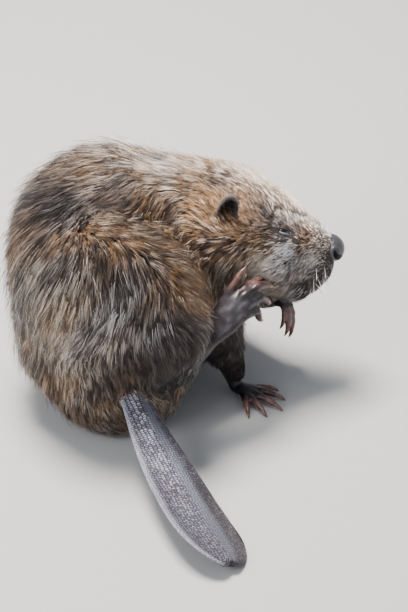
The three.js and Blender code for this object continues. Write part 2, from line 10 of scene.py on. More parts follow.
import bmesh
import bpy
import numpy as np
from mathutils import Matrix, Vector
from mathutils.bvhtree import BVHTree
from mathutils.kdtree import KDTree
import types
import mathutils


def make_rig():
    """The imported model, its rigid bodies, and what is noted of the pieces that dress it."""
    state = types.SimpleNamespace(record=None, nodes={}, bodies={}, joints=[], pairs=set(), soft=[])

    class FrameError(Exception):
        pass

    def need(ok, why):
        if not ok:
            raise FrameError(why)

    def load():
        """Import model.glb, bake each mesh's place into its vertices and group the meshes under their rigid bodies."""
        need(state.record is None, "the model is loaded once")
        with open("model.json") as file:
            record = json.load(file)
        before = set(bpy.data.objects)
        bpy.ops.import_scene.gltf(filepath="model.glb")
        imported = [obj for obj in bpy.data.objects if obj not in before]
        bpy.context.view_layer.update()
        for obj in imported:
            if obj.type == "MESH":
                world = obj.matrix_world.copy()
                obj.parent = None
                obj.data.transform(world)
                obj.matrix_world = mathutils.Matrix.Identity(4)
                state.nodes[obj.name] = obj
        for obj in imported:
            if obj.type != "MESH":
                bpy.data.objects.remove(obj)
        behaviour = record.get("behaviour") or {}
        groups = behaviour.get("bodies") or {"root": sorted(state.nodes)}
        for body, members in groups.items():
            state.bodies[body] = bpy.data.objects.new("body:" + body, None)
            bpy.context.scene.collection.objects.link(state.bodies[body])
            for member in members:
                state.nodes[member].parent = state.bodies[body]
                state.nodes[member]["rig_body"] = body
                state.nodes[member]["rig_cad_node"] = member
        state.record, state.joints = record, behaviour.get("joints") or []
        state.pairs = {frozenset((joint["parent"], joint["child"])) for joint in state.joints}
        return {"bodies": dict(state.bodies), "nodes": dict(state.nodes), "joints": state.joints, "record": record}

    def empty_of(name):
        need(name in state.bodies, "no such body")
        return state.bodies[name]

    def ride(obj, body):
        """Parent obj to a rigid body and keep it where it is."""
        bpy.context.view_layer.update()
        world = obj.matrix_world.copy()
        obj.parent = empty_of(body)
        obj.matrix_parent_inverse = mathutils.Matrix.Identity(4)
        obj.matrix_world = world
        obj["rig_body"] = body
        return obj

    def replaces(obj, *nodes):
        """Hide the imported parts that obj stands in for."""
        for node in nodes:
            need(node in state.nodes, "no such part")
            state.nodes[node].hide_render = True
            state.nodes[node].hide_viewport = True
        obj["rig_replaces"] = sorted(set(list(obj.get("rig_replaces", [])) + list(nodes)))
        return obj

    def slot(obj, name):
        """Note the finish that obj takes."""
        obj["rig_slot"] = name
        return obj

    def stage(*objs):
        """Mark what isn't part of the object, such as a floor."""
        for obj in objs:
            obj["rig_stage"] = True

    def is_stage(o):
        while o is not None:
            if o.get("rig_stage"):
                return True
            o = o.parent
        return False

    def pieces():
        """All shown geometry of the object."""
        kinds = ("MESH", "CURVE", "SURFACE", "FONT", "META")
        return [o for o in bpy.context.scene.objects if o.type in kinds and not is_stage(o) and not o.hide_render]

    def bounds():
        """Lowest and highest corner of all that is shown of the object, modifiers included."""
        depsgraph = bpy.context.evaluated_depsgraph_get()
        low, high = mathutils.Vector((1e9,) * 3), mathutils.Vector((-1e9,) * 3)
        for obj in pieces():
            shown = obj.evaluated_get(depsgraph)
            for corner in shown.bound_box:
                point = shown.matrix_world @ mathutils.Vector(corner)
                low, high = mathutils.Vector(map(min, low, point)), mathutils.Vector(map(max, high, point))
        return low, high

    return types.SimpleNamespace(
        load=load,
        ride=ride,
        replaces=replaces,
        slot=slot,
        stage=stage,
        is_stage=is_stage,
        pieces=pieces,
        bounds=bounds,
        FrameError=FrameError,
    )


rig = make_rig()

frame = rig.load()
cad_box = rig.bounds()
bpy.ops.object.select_all(action="DESELECT")
MM = 0.001


# ---------------------------------------------------------------- floor, light and camera
# A plain pale studio floor and a soft sky, with one broad light overhead, a little behind the
# animal, and a weaker and cooler one from the camera's left.
class Wire:
    """A socket of a shader node, with the operators that its maths is written in."""

    def __init__(self, tree, socket):
        self.tree, self.socket = tree, socket

    def maths(self, operation, *values):
        return self.tree.node("ShaderNodeMath", {"operation": operation}, dict(enumerate(values)))

    def __mul__(self, other):
        return self.maths("MULTIPLY", self, other)

    def __rmul__(self, other):
        return self.maths("MULTIPLY", other, self)

    def __sub__(self, other):
        return self.maths("SUBTRACT", self, other)

    def __rsub__(self, other):
        return self.maths("SUBTRACT", other, self)


class Finish:
    """A material: its Principled shader and the nodes that feed it."""

    def __init__(self, name, **constants):
        self.material = bpy.data.materials.new(name)
        self.material.use_nodes = True
        self.nodes = self.material.node_tree.nodes
        self.shader = self.nodes["Principled BSDF"]
        for socket, value in constants.items():
            self.shader.inputs[socket.replace("_", " ")].default_value = value

    def link(self, value, socket):
        if isinstance(value, Wire):
            self.material.node_tree.links.new(value.socket, socket)
        else:
            socket.default_value = value

    def node(self, kind, settings, inputs, output=0):
        made = self.nodes.new(kind)
        for setting, value in settings.items():
            setattr(made, setting, value)
        for socket, value in inputs.items():
            self.link(value, made.inputs[socket])
        return Wire(self, made.outputs[output])

    def feed(self, **sockets):
        for socket, value in sockets.items():
            self.link(value, self.shader.inputs[socket.replace("_", " ")])

    def place(self):
        return self.node("ShaderNodeTexCoord", {}, {}, "Object")

    def trait(self, name, output):
        return self.node("ShaderNodeAttribute", {"attribute_name": name}, {}, output)

    def parts(self, vector):
        return [self.node("ShaderNodeSeparateXYZ", {}, {0: vector}, i) for i in range(3)]

    def noise(self, scale, detail, roughness=0.6):
        sockets = {"Vector": self.place(), "Scale": scale, "Detail": detail, "Roughness": roughness}
        return self.node("ShaderNodeTexNoise", {}, sockets, "Fac")

    def mix(self, share, a, b):
        return self.node("ShaderNodeMix", {"data_type": "RGBA"}, {0: share, 6: a, 7: b}, 2)

    def between(self, value, low, high, start=0.0, end=1.0):
        sockets = {0: value, 1: low, 2: high, 3: start, 4: end}
        return self.node("ShaderNodeMapRange", {"interpolation_type": "SMOOTHSTEP"}, sockets)

    def bump(self, height, distance, strength):
        sockets = {"Height": height, "Distance": distance, "Strength": strength}
        return self.node("ShaderNodeBump", {}, sockets, "Normal")


FLOOR_SIZE = 12.0
FLOOR_DROP = 0.0005  # under the solids, so that their flats don't flicker with it
FLOOR_COLOUR = (0.46, 0.45, 0.43, 1)
SKY_COLOUR = (0.80, 0.87, 1.0, 1)
SKY_STRENGTH = 0.6

bpy.ops.mesh.primitive_plane_add(size=FLOOR_SIZE, location=(0, 0, -FLOOR_DROP))
floor = bpy.context.object
floor.name = "studio_floor"
floor_finish = Finish("studio_floor", Roughness=0.8)
floor_finish.feed(Base_Color=FLOOR_COLOUR)
floor.data.materials.append(floor_finish.material)
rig.stage(floor)
floor.select_set(False)

world = bpy.data.worlds.new("soft_sky")
world.use_nodes = True
world.node_tree.nodes["Background"].inputs["Color"].default_value = SKY_COLOUR
world.node_tree.nodes["Background"].inputs["Strength"].default_value = SKY_STRENGTH
bpy.context.scene.world = world


def soft_light(name, at, aim, size, power, colour):
    bpy.ops.object.light_add(type="AREA", location=at)
    light = bpy.context.object
    light.name = name
    light.data.size = size
    light.data.energy = power
    light.data.color = colour
    light.rotation_euler = (Vector(aim) - Vector(at)).to_track_quat("-Z", "Y").to_euler()
    light.select_set(False)


soft_light("sky_light", (-0.35, 0.45, 2.5), (0.05, 0, 0.12), 0.9, 215, (1.0, 0.96, 0.92))
soft_light("left_light", (-1.7, -1.5, 1.6), (0.05, 0, 0.1), 1.4, 52, (0.92, 0.95, 1.0))

# The camera looks along +Y and 35 degrees down, from 3 metres, through a long lens.
CAMERA_PLACE = (0.09175, -2.40660, 1.79336)
CAMERA_DROP = 35
CAMERA_LENS = 171.18
CAMERA_SENSOR = 36
bpy.ops.object.camera_add(location=CAMERA_PLACE, rotation=(math.radians(90 - CAMERA_DROP), 0, 0))
camera = bpy.context.object
camera.data.lens = CAMERA_LENS
camera.data.sensor_width = CAMERA_SENSOR
camera.select_set(False)
bpy.context.scene.camera = camera


# ---------------------------------------------------------------- skin
# The hide of the furred body, one mesh from the muzzle to the tail's root. It is grown together
# from copies of the furred solids, relaxed, and let in by the depth of the coat that lies over it.
FURRED = ["trunk", "neck", "head", "right_hind_leg", "left_hind_leg", "right_foreleg", "left_foreleg"]
BARE = ["tail", "nose", "right_ear", "left_ear"]
BARE += ["right_hind_paw", "left_hind_paw", "right_fore_paw", "left_fore_paw"]
FLESH = FURRED + BARE
UP = np.array([0.0, 0, 1])
SKIN_GRAIN = 3.0
SEAM_SWELL = 0.8  # closes the thin gaps between neighbouring solids
SKIN_ROUNDS = 24  # of relaxing, which rounds off the solids' facets
SKIN_BASE = 0.5  # the furred skin keeps this far off the floor
BARE_BASE = 0.1  # and so far the bare tail and paws
CLAW_BASE = 0.05
UNDER_PAD = 5  # how much deeper the skin lies under the nose pad
PAD_REACH = 1.04  # how far that goes, as a share of the pad's size


def unit(v):
    v = np.asarray(v, float)
    return v / np.linalg.norm(v, axis=-1, keepdims=True)


def axes_of(forward, up):
    """Rows forward, left and up of a frame whose up is as near as it can be to the one asked for."""
    x = unit(forward)
    y = unit(np.cross(up, x))
    return np.array([x, y, np.cross(x, y)])


# The head's own frame: forward to the nose, left, and up, as its solids are laid out.
HEAD_AT = np.array([112.0, 44.0, 196.0])
HEAD_AXES = axes_of((0.89, -0.04, -0.45), (0, 0.25, 1))
NOSE_AT = (116, 0, 9)
NOSE_SIZE = (15, 17, 14)


def from_head(place):
    return HEAD_AT + np.asarray(place, float) @ HEAD_AXES


def way_from_head(way):
    return np.asarray(way, float) @ HEAD_AXES


def in_head(points):
    return (points - HEAD_AT) @ HEAD_AXES.T


# The coat's chart: at each place of the body the length of its hair, the depth of the coat over the
# skin, the way the hair lies, its brown from charcoal at -1 over grey-brown to golden at 1, and how
# pale its tips are. Sides are the beaver's right and left. Places on the head are in its own frame.
HEAD_CHART = {
    "nose_bridge": ((106, 0, 26), 5, 1.4, (-1, 0, 0.1), 0.1, 1.8),
    # The pale tips of the forehead and crown are partly the hair's own and partly a painted highlight on the top of
    # the head.
    "forehead": ((66, 0, 40), 14, 4, (-1, 0, 0), 0.55, 3.0),
    "crown": ((30, 0, 48), 20, 7, (-1, 0, 0.05), 0.7, 2.2),
    "lip_tip": ((129, 0, -10), 4, 1.2, (-0.2, 0, -1), -0.5, 0.3),
    "chin": ((108, 0, -52), 13, 4, (-0.4, 0, -0.9), 0.1, 1.8),
    "throat": ((66, 0, -66), 26, 9, (-0.5, 0, -0.9), 0.4, 1.0),
}
HEAD_SIDE_CHART = {
    "nose_side": ((106, 18, 16), 4, 1.2, (-1, 0, 0), -0.1, 1.5),
    "muzzle": ((104, 26, -4), 6, 1.4, (-0.95, 0, -0.35), 0.0, 2.3),
    "lip": ((102, 28, -19), 7, 1.8, (-0.5, 0, -0.9), 0.0, 1.8),
    "nostril": ((112, 21, -7), 4, 1.2, (-1, 0, -0.4), -0.5, 0.5),
    "mouth": ((113, 21, -30), 3.5, 2.6, (-0.6, 0, -0.8), -0.9, 0.1),
    "chin_side": ((98, 25, -43), 14, 4, (-0.35, 0, -0.95), 0.1, 2.4),
    "brow": ((62, 33, 26), 9, 2.2, (-1, 0, 0.25), 0.35, 0.15),
    "brow_top": ((56, 22, 37), 12, 3, (-1, 0, 0.1), 0.4, 1.6),
    "eye": ((55, 42, 14), 4, 1.6, (-1, 0, 0), -0.2, 0.1),
    "eye_front": ((76, 36, 14), 7, 1.8, (-1, 0, 0.1), 0.6, 0.9),
    "under_eye": ((68, 44, 0), 9, 1.8, (-0.9, 0, -0.45), 0.1, 2.8),
    "eye_back": ((38, 46, 14), 14, 4, (-1, 0, -0.1), 0.5, 0.1),
    "temple": ((26, 47, 24), 15, 5, (-1, 0, 0.1), 0.45, 0.05),
    "cheek": ((62, 49, -20), 18, 4, (-0.7, 0, -0.75), 0.15, 3.0),
    "jaw": ((68, 38, -46), 24, 4, (-0.3, 0, -0.95), 0.2, 3.0),
    "jowl": ((34, 51, -32), 28, 8, (-0.6, 0, -0.8), 0.5, 1.6),
    "ear_front": ((8, 50, 16), 9, 3.5, (-1, 0, 0.1), 0.5, 0.2),
    "ear_back": ((-20, 52, 10), 18, 8, (-1, 0, -0.2), 0.9, 0.3),
}
BODY_CHART = {
    "nape": ((72, 40, 256), 28, 10, (-1, 0, 0), 0.6, 2.2),
    "neck_right": ((74, -18, 206), 30, 11, (-0.8, -0.1, -0.6), 0.9, 0.6),
    "neck_left": ((80, 110, 196), 30, 11, (-0.8, 0.1, -0.6), 0.75, 0.6),
    "back": ((0, 30, 262), 34, 13, (-1, 0, -0.05), 0.3, 0.5),
    "back_right": ((0, -24, 252), 34, 14, (-0.9, -0.25, -0.3), 0.0, 0.0),
    "back_left": ((0, 110, 236), 34, 13, (-0.9, 0.25, -0.4), 0.25, 0.6),
    "back_rear": ((-84, 20, 220), 36, 14, (-0.6, 0, -0.8), 0.15, 0.8),
    "saddle_rear": ((-36, -4, 250), 34, 14, (-0.85, -0.25, -0.45), 0.0, 0.1),
    "saddle": ((22, -6, 249), 32, 13, (-0.9, -0.25, -0.3), -0.15, 0.0),
    "saddle_front": ((56, -4, 238), 30, 12, (-0.85, -0.2, -0.45), 0.35, 0.25),
    # The golden, pale-tipped hair along the furrow is painted light: the lit edge of the trunk's fur above the haunch.
    "furrow_rear": ((-9, -27, 243), 24, 17, (0.95, -0.3, -0.2), 0.9, 0.8),
    "furrow_top": ((24, -38, 236), 24, 20, (0.95, -0.25, -0.3), 1.0, 0.8),
    "furrow_mid": ((54, -40, 223), 24, 22, (0.75, -0.25, -0.6), 1.0, 0.8),
    "furrow_front": ((72, -46, 202), 24, 20, (0.5, -0.45, -0.7), 1.0, 0.7),
    "furrow_low": ((82, -66, 183), 20, 16, (0.2, -0.5, -0.8), 0.7, 0.5),
    "rump": ((-106, 0, 130), 34, 14, (0, 0, -1), 0.1, 1.3),
    "rump_right": ((-70, -78, 110), 33, 13, (0.2, -0.1, -1), 0.2, 0.9),
    "rump_left": ((-72, 84, 100), 33, 13, (0, 0.1, -1), 0.1, 1.4),
    "seat": ((-60, -40, 18), 22, 9, (0.25, -0.3, -0.6), 0.3, 0.7),
    "seat_left": ((-60, 60, 20), 22, 9, (0, 0.3, -0.6), 0.3, 0.7),
    "under": ((0, 0, 0), 8, 3, (-1, 0, 0), 0.2, 0.3),
    "flank_right": ((-62, -74, 200), 34, 13, (-0.55, -0.25, -0.8), 0.3, 1.3),
    "flank_left": ((-40, 134, 160), 33, 13, (-0.4, 0.1, -0.9), 0.2, 0.8),
    "shoulder_right": ((84, -32, 160), 28, 10, (-0.5, -0.1, -0.85), 0.6, 0.3),
    "shoulder_left": ((84, 118, 156), 30, 10, (-0.3, 0.1, -0.95), 0.6, 0.6),
    "haunch_top": ((10, -86, 236), 30, 12, (-0.25, -0.5, -0.8), 0.0, 0.35),
    "haunch": ((5, -112, 186), 32, 12, (-0.15, 0, -1), -0.25, 1.0),
    "haunch_front": ((60, -112, 200), 27, 10, (-0.1, -0.3, -0.95), -0.1, 0.25),
    "haunch_back": ((-62, -104, 150), 33, 13, (-0.15, -0.1, -1), 0.2, 1.7),
    # The low and under rows of the haunch are charcoal with few pale tips: painted shade under the haunch.
    "haunch_low": ((34, -116, 130), 28, 11, (0.3, 0.2, -0.95), -0.55, 0.0),
    "haunch_under": ((10, -104, 90), 26, 9, (0.3, 0.2, -0.95), -0.3, 0.2),
    "knee": ((90, -104, 168), 24, 9, (-0.1, -0.2, -1), -0.4, 0.1),
    "shank_right": ((84, -94, 112), 14, 5, (-0.1, 0, -1), -0.6, 0.3),
    "heel_right": ((62, -92, 78), 10, 3.5, (0.2, 0.1, -0.9), -0.6, 0.2),
    "tail_root": ((16, -88, 62), 19, 6, (0.3, -0.8, -0.5), 0.4, 0.8),
    "buttock": ((50, -76, 44), 22, 8, (0.3, -0.3, -0.9), 0.5, 0.9),
    "belly": ((70, -20, 60), 20, 8, (-0.3, 0, -0.95), 0.3, 0.4),
    "chest": ((128, 40, 116), 20, 8, (-0.3, 0, -0.95), 0.2, 0.4),
    "arm_right": ((112, -24, 118), 16, 6, (0.05, 0, -1), -0.5, 0.15),
    "elbow_right": ((116, -22, 76), 12, 4.5, (0.25, 0, -1), -0.6, 0.1),
    "wrist_right": ((130, -8, 34), 7, 2, (0.4, -0.1, -0.9), -0.9, 0.1),
    "elbow_left": ((112, 122, 80), 18, 6, (0.3, 0.1, -0.9), 0.1, 0.4),
    "forearm_left": ((144, 76, 96), 14, 4, (0.8, -0.4, -0.4), 0.1, 0.8),
    "wrist_left": ((164, 56, 86), 12, 2, (0.6, -0.3, -0.9), 0.1, 0.8),
    "haunch_left": ((24, 146, 90), 30, 11, (-0.2, 0.1, -1), 0.1, 0.8),
    "knee_left": ((96, 120, 70), 22, 8, (-0.3, 0, -0.9), 0.2, 0.6),
    "heel_left": ((-16, 112, 26), 9, 3.5, (0.8, 0, -0.5), -0.3, 0.3),
}


def coat_chart():
    """The chart as arrays: places, and for each its hair length, depth, lie, warmth and paleness."""
    rows = [(np.array(at, float), *rest) for at, *rest in BODY_CHART.values()]
    for at, length, depth, lie, warm, pale in HEAD_CHART.values():
        rows.append((from_head(at), length, depth, way_from_head(lie), warm, pale))
    for at, length, depth, lie, warm, pale in HEAD_SIDE_CHART.values():
        for side in (-1, 1):
            turn = np.array([1, side, 1])
            place, way = from_head(at * turn), way_from_head(lie * turn)
            rows.append((place, length, depth, way, warm, pale))
    places = np.array([row[0] for row in rows])
    return places, np.array([[row[1], row[2], *unit(row[3]), *row[4:]] for row in rows])


CHART_PLACES, CHART_VALUES = coat_chart()
LENGTH, DEPTH, LIE, WARM, PALE = 0, 1, slice(2, 5), 5, 6
CHART_SOFTNESS = 9.0  # how near a place of the chart has to be before its weight levels off
CHART_FALL = 2.5  # the power that its weight falls off by
BATCH = 20000  # points that are worked on together, to spare memory


def read_chart(points):
    """The chart's values at the points, blended from the places near by."""
    values = np.empty((len(points), CHART_VALUES.shape[1]))
    for start in range(0, len(points), BATCH):
        some = points[start : start + BATCH]
        gaps = ((some[:, None, :] - CHART_PLACES[None]) ** 2).sum(2)
        weights = 1 / (gaps + CHART_SOFTNESS**2) ** CHART_FALL
        values[start : start + BATCH] = weights @ CHART_VALUES / weights.sum(1, keepdims=True)
    return values


def merged_copy(name):
    """A copy of a CAD node with its loose triangles joined up."""
    copy = frame["nodes"][name].copy()
    copy.data = copy.data.copy()
    copy.data.materials.clear()
    copy.parent = None
    bpy.context.collection.objects.link(copy)
    mesh = bmesh.new()
    mesh.from_mesh(copy.data)
    bmesh.ops.remove_doubles(mesh, verts=mesh.verts, dist=0.01 * MM)
    mesh.to_mesh(copy.data)
    mesh.free()
    return copy


def joined(pieces, name):
    """The pieces as one object without the solids' own marks, left active and selected."""
    bpy.ops.object.select_all(action="DESELECT")
    for piece in pieces:
        piece.select_set(True)
    bpy.context.view_layer.objects.active = pieces[0]
    if len(pieces) > 1:
        bpy.ops.object.join()
    pieces[0].name = pieces[0].data.name = name
    for key in [key for key in pieces[0].keys() if key.startswith("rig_")]:
        del pieces[0][key]
    return pieces[0]


def grown_together(piece, grain):
    """Gives the active piece one even skin, without the specks that are sealed inside it."""
    remesh = piece.modifiers.new("grow_together", "REMESH")
    remesh.mode = "VOXEL"
    remesh.voxel_size = grain * MM
    bpy.ops.object.modifier_apply(modifier=remesh.name)
    bpy.ops.object.mode_set(mode="EDIT")
    bpy.ops.mesh.select_all(action="DESELECT")
    bpy.ops.object.mode_set(mode="OBJECT")
    piece.data.vertices[int(points_of(piece)[:, 2].argmax())].select = True
    bpy.ops.object.mode_set(mode="EDIT")
    bpy.ops.mesh.select_linked()
    bpy.ops.mesh.select_all(action="INVERT")
    bpy.ops.mesh.delete(type="VERT")
    bpy.ops.object.mode_set(mode="OBJECT")


def points_of(piece):
    """The places of a mesh's vertices, in millimetres."""
    flat = np.empty(len(piece.data.vertices) * 3, np.float32)
    piece.data.vertices.foreach_get("co", flat)
    return flat.reshape(-1, 3).astype(float) / MM


def move_points(piece, points):
    piece.data.vertices.foreach_set("co", (points * MM).astype(np.float32).ravel())
    piece.data.update()


def normals_of(piece):
    flat = np.empty(len(piece.data.vertices) * 3, np.float32)
    piece.data.vertices.foreach_get("normal", flat)
    return flat.reshape(-1, 3).astype(float)


def edges_of(piece):
    flat = np.empty(len(piece.data.edges) * 2, np.int32)
    piece.data.edges.foreach_get("vertices", flat)
    return flat.reshape(-1, 2)


def relaxed(values, edges, rounds, give=0.5):
    """Values at the vertices after each has moved towards its neighbours' mean, so many times."""
    ends = np.concatenate([edges, edges[:, ::-1]])
    count = np.maximum(np.bincount(ends[:, 0], minlength=len(values)), 1)
    give = np.broadcast_to(np.asarray(give, float), len(values))
    for _ in range(rounds):
        sums = [np.bincount(ends[:, 0], column[ends[:, 1]], len(values)) for column in values.T]
        values = values + give[:, None] * (np.stack(sums, 1) / count[:, None] - values)
    return values


skin = joined([merged_copy(name) for name in [*FURRED, "nose"]], "skin")
move_points(skin, points_of(skin) + SEAM_SWELL * normals_of(skin))
grown_together(skin, SKIN_GRAIN)
edges = edges_of(skin)
points = points_of(skin)
depth = read_chart(points)[:, DEPTH]
move_points(skin, relaxed(points, edges, SKIN_ROUNDS, np.clip(depth / 12, 0.12, 0.6)))
ways = unit(relaxed(normals_of(skin), edges, 6))
let_in = relaxed(read_chart(points_of(skin))[:, DEPTH, None], edges, 6)
places = in_head(points_of(skin)) - NOSE_AT
under_pad = (np.linalg.norm(places / NOSE_SIZE, axis=1) < PAD_REACH) & (places[:, 0] > 0)
let_in[under_pad] += UNDER_PAD
points = relaxed(points_of(skin) - let_in * ways, edges, 4, 0.3)
points[:, 2] = np.maximum(points[:, 2], SKIN_BASE)
move_points(skin, points)


# ---------------------------------------------------------------- tail
# The bare paddle: an oval stock that flattens, widens and rolls its outer edge up, in slate-grey
# skin pressed into small flat scales in crosswise rows. Its root runs on into the rump.
TAIL_LINE = (
    (2, -48, 86), (8, -62, 76), (23, -94, 60), (41, -134, 40),
    (63, -180, 23), (88, -234, 14), (117, -292, 12),
)
TAIL_BURIED = 18.2  # the length of the line that is inside the rump
TAIL_WIDTH = 78
TAIL_THICKNESS = 17
TAIL_ROOT_WIDTH = 0.34  # as a share of TAIL_WIDTH
TAIL_WIDEST = 0.74  # the share of its length from which the end is rounded
TAIL_BLUNTNESS = 2.6
TAIL_ROLL = -22  # degrees at the tip, reached at TAIL_ROLLED
TAIL_ROLLED = 0.625
# The rolled-up edge is pale from a painted highlight.
TAIL_CURL = 0.16  # of the pale edge, as a share of the half width
TAIL_RIDGE = 1.6  # of the bones, which show along it
TAIL_NOTCH = 5  # the depth and the width of the dent in the tip
TAIL_PACKING = 1.25  # crowds the rings of the mesh towards the root


def smooth_line(points, shares):
    """Places at the shares of a smooth line through the points, with its directions."""
    points = np.asarray(points, float)
    ends = np.concatenate([[2 * points[0] - points[1]], points, [2 * points[-1] - points[-2]]])
    at = np.clip(shares, 0, 1) * (len(points) - 1)
    i = np.minimum(at.astype(int), len(points) - 2)
    t = (at - i)[:, None]
    a, b, c, d = (ends[i + k] for k in range(4))
    place = 0.5 * (2 * b + (c - a) * t + (2 * a - 5 * b + 4 * c - d) * t**2 + (3 * b - a - 3 * c + d) * t**3)
    way = 0.5 * ((c - a) + 2 * (2 * a - 5 * b + 4 * c - d) * t + 3 * (3 * b - a - 3 * c + d) * t**2)
    return place, unit(way)


def ball_mesh(name, segments, rings):
    """A unit ball to be shaped, and the places of its vertices."""
    bpy.ops.object.select_all(action="DESELECT")
    bpy.ops.mesh.primitive_uv_sphere_add(segments=segments, ring_count=rings, radius=1)
    piece = bpy.context.object
    piece.name = piece.data.name = name
    bpy.ops.object.shade_smooth()
    return piece, points_of(piece) * MM


def keep_trait(piece, name, *columns):
    """Stores up to three values at each vertex, for the materials to read."""
    values = np.zeros((len(columns[0]), 3), np.float32)
    values[:, : len(columns)] = np.stack(columns, 1)
    store = piece.data.attributes.new(name, "FLOAT_VECTOR", "POINT")
    store.data.foreach_set("vector", values.ravel())


tail, places = ball_mesh("tail", 64, 120)
turn = np.arctan2(places[:, 1], places[:, 0])
share = np.arccos(np.clip(places[:, 2], -1, 1)) / np.pi
share = 1 - (1 - share * 0.998) ** TAIL_PACKING
steps = np.linspace(0, 1, 200)
run = np.linalg.norm(np.diff(smooth_line(TAIL_LINE, steps)[0], axis=0), axis=1).cumsum()
run = np.concatenate([[0], run])
tail_length = run[-1] - TAIL_BURIED
centre, ahead = smooth_line(TAIL_LINE, np.interp(share * run[-1], run, steps))
share = np.clip((share * run[-1] - TAIL_BURIED) / tail_length, 0, 1)
roll = np.radians(TAIL_ROLL * np.minimum(share / TAIL_ROLLED, 1))[:, None]
flat = unit(np.cross(UP, ahead))
right = flat * np.cos(roll) + np.cross(ahead, flat) * np.sin(roll)
over = np.cross(ahead, right)
ease = np.clip(share / TAIL_WIDEST, 0, 1)
spread = TAIL_ROOT_WIDTH + (1 - TAIL_ROOT_WIDTH) * ease**2 * (3 - 2 * ease)
past = np.clip(share - TAIL_WIDEST, 0, 1) / (1 - TAIL_WIDEST)
wide = TAIL_WIDTH / 2 * spread * np.sqrt(1 - past**TAIL_BLUNTNESS)
high = TAIL_THICKNESS / 2 * (1.45 - 0.85 * share**0.6)
x, y = np.cos(turn), np.sin(turn)
ridge = TAIL_RIDGE * np.exp(-((x + 0.12) / 0.2) ** 2) * np.clip(1.2 - share, 0, 1)
height = y * high * (1 - 0.45 * abs(x)) + (y > 0) * ridge * y + TAIL_CURL * wide * np.maximum(-x, 0) ** 2
points = centre + right * (x * wide)[:, None] + over * height[:, None]
points -= ahead * (TAIL_NOTCH * np.exp(-((x * wide) / TAIL_NOTCH) ** 2) * past**3)[:, None]
points[:, 2] = np.maximum(points[:, 2], BARE_BASE)
move_points(tail, points)
tail_points, tail_normals, tail_ways, tail_share = points_of(tail), normals_of(tail), ahead, share
keep_trait(tail, "tail_map", share * tail_length, x * wide, x)

SLATE = (0.125, 0.108, 0.135, 1)
SLATE_DARK = (0.034, 0.028, 0.036, 1)
SLATE_PALE = (0.60, 0.59, 0.69, 1)
SLATE_BLUE = (0.24, 0.26, 0.32, 1)
SCALES = (1 / 2.4, 1 / 3.9, 0)  # to the millimetre, along the tail and across it
tail_finish = Finish("tail_skin", Roughness=0.4, Specular_IOR_Level=0.28)
spot = tail_finish.trait("tail_map", "Vector")
down, _, across = tail_finish.parts(spot)
laid = tail_finish.node("ShaderNodeVectorMath", {"operation": "MULTIPLY"}, {0: spot, 1: SCALES}, "Vector")
cells = {"Vector": laid, "Scale": 1.0, "Randomness": 0.5}
seams = {"feature": "DISTANCE_TO_EDGE", "voronoi_dimensions": "2D"}
groove = tail_finish.node("ShaderNodeTexVoronoi", seams, cells, "Distance")
middles = {"feature": "F1", "voronoi_dimensions": "2D"}
each = tail_finish.node("ShaderNodeTexVoronoi", middles, cells, "Color")
chance = tail_finish.node("ShaderNodeSeparateColor", {}, {0: each})
bed = tail_finish.between(groove, 0.03, 0.22)
cloud = tail_finish.noise(22, 3)
on_ridge = tail_finish.between(across, -0.8, -0.35) * tail_finish.between(across, 0.25, -0.05)
painted_sheen_band = tail_finish.between(across, 0.0, 0.2) * tail_finish.between(across, 0.7, 0.4)
painted_rim_highlight = tail_finish.between(across, -0.74, -0.93)
painted_edge_shade = tail_finish.between(across, 0.3, 0.6) * tail_finish.between(down, 90, 160)
# Pale flecks on the scales along the ridge are painted highlights, a little fainter towards the tip.
painted_scale_highlights = on_ridge * tail_finish.between(chance, 0.1, 0.7) * tail_finish.between(cloud, 0.35, 0.6, 0.4, 1)
slate = tail_finish.mix(tail_finish.between(cloud, 0.4, 0.7) * 0.5, SLATE, SLATE_BLUE)
slate = tail_finish.mix(tail_finish.between(chance, 0.3, 0.9) * 0.2, slate, SLATE_PALE)
# A bluish painted sheen lies down the band right of the middle.
slate = tail_finish.mix(painted_sheen_band * 0.7, slate, SLATE_BLUE)
# The right edge towards the tip is darkened with painted shade.
slate = tail_finish.mix(painted_edge_shade * 0.9, slate, SLATE_DARK)
slate = tail_finish.mix(painted_scale_highlights * tail_finish.between(down, 60, 230, 0.62, 0.5), slate, SLATE_PALE)
# Painted shade darkens the grooves between the scales, less in the sheen band.
slate = tail_finish.mix((1 - bed) * tail_finish.between(painted_sheen_band, 0, 1, 0.95, 0.4), slate, SLATE_DARK)
# Painted shade darkens the tail towards its tip.
slate = tail_finish.mix(tail_finish.between(down, 120, 250) * 0.6, slate, SLATE_DARK)
# The rolled-up rim on the left gets a painted highlight.
tail_finish.feed(
    Base_Color=tail_finish.mix(painted_rim_highlight * 0.42, slate, SLATE_PALE),
    Roughness=tail_finish.between(cloud, 0.3, 0.75, 0.28, 0.48),
    Normal=tail_finish.bump(tail_finish.between(groove, 0.0, 0.3), 0.0011, 1.0),
)
tail.data.materials.append(tail_finish.material)


# ---------------------------------------------------------------- paws
# Bare feet in dark creased skin: fingered forepaws, and long hind feet with webs between the toes.
# Bones and tendons stand out along the back of each, and the pads of the sole are a little swollen.
FORE = {
    "sole": (27, 19, 25, 14),  # its length, its width at the heel and at the toes, its thickness
    "thick": 4.2,  # a digit's radius
    "claw": (12, 2.4),  # its length and radius
    "web": None,  # how far along the toes it reaches
    "digits": (  # place across the sole, splay in degrees, length, fatness
        (-0.8, -38, 15, 0.8), (-0.48, -17, 24, 1), (0, 2, 28, 1.05),
        (0.48, 22, 26, 1), (0.8, 46, 20, 0.95),
    ),
}
HIND = {
    "sole": (74, 24, 33, 21),
    "thick": 5.2,
    "claw": (13, 3),
    "web": 0.86,
    "digits": (
        (-0.8, -26, 46, 0.85), (-0.42, -13, 52, 0.95), (0, 0, 62, 1.05),
        (0.42, 13, 62, 1.05), (0.8, 27, 54, 1),
    ),
}
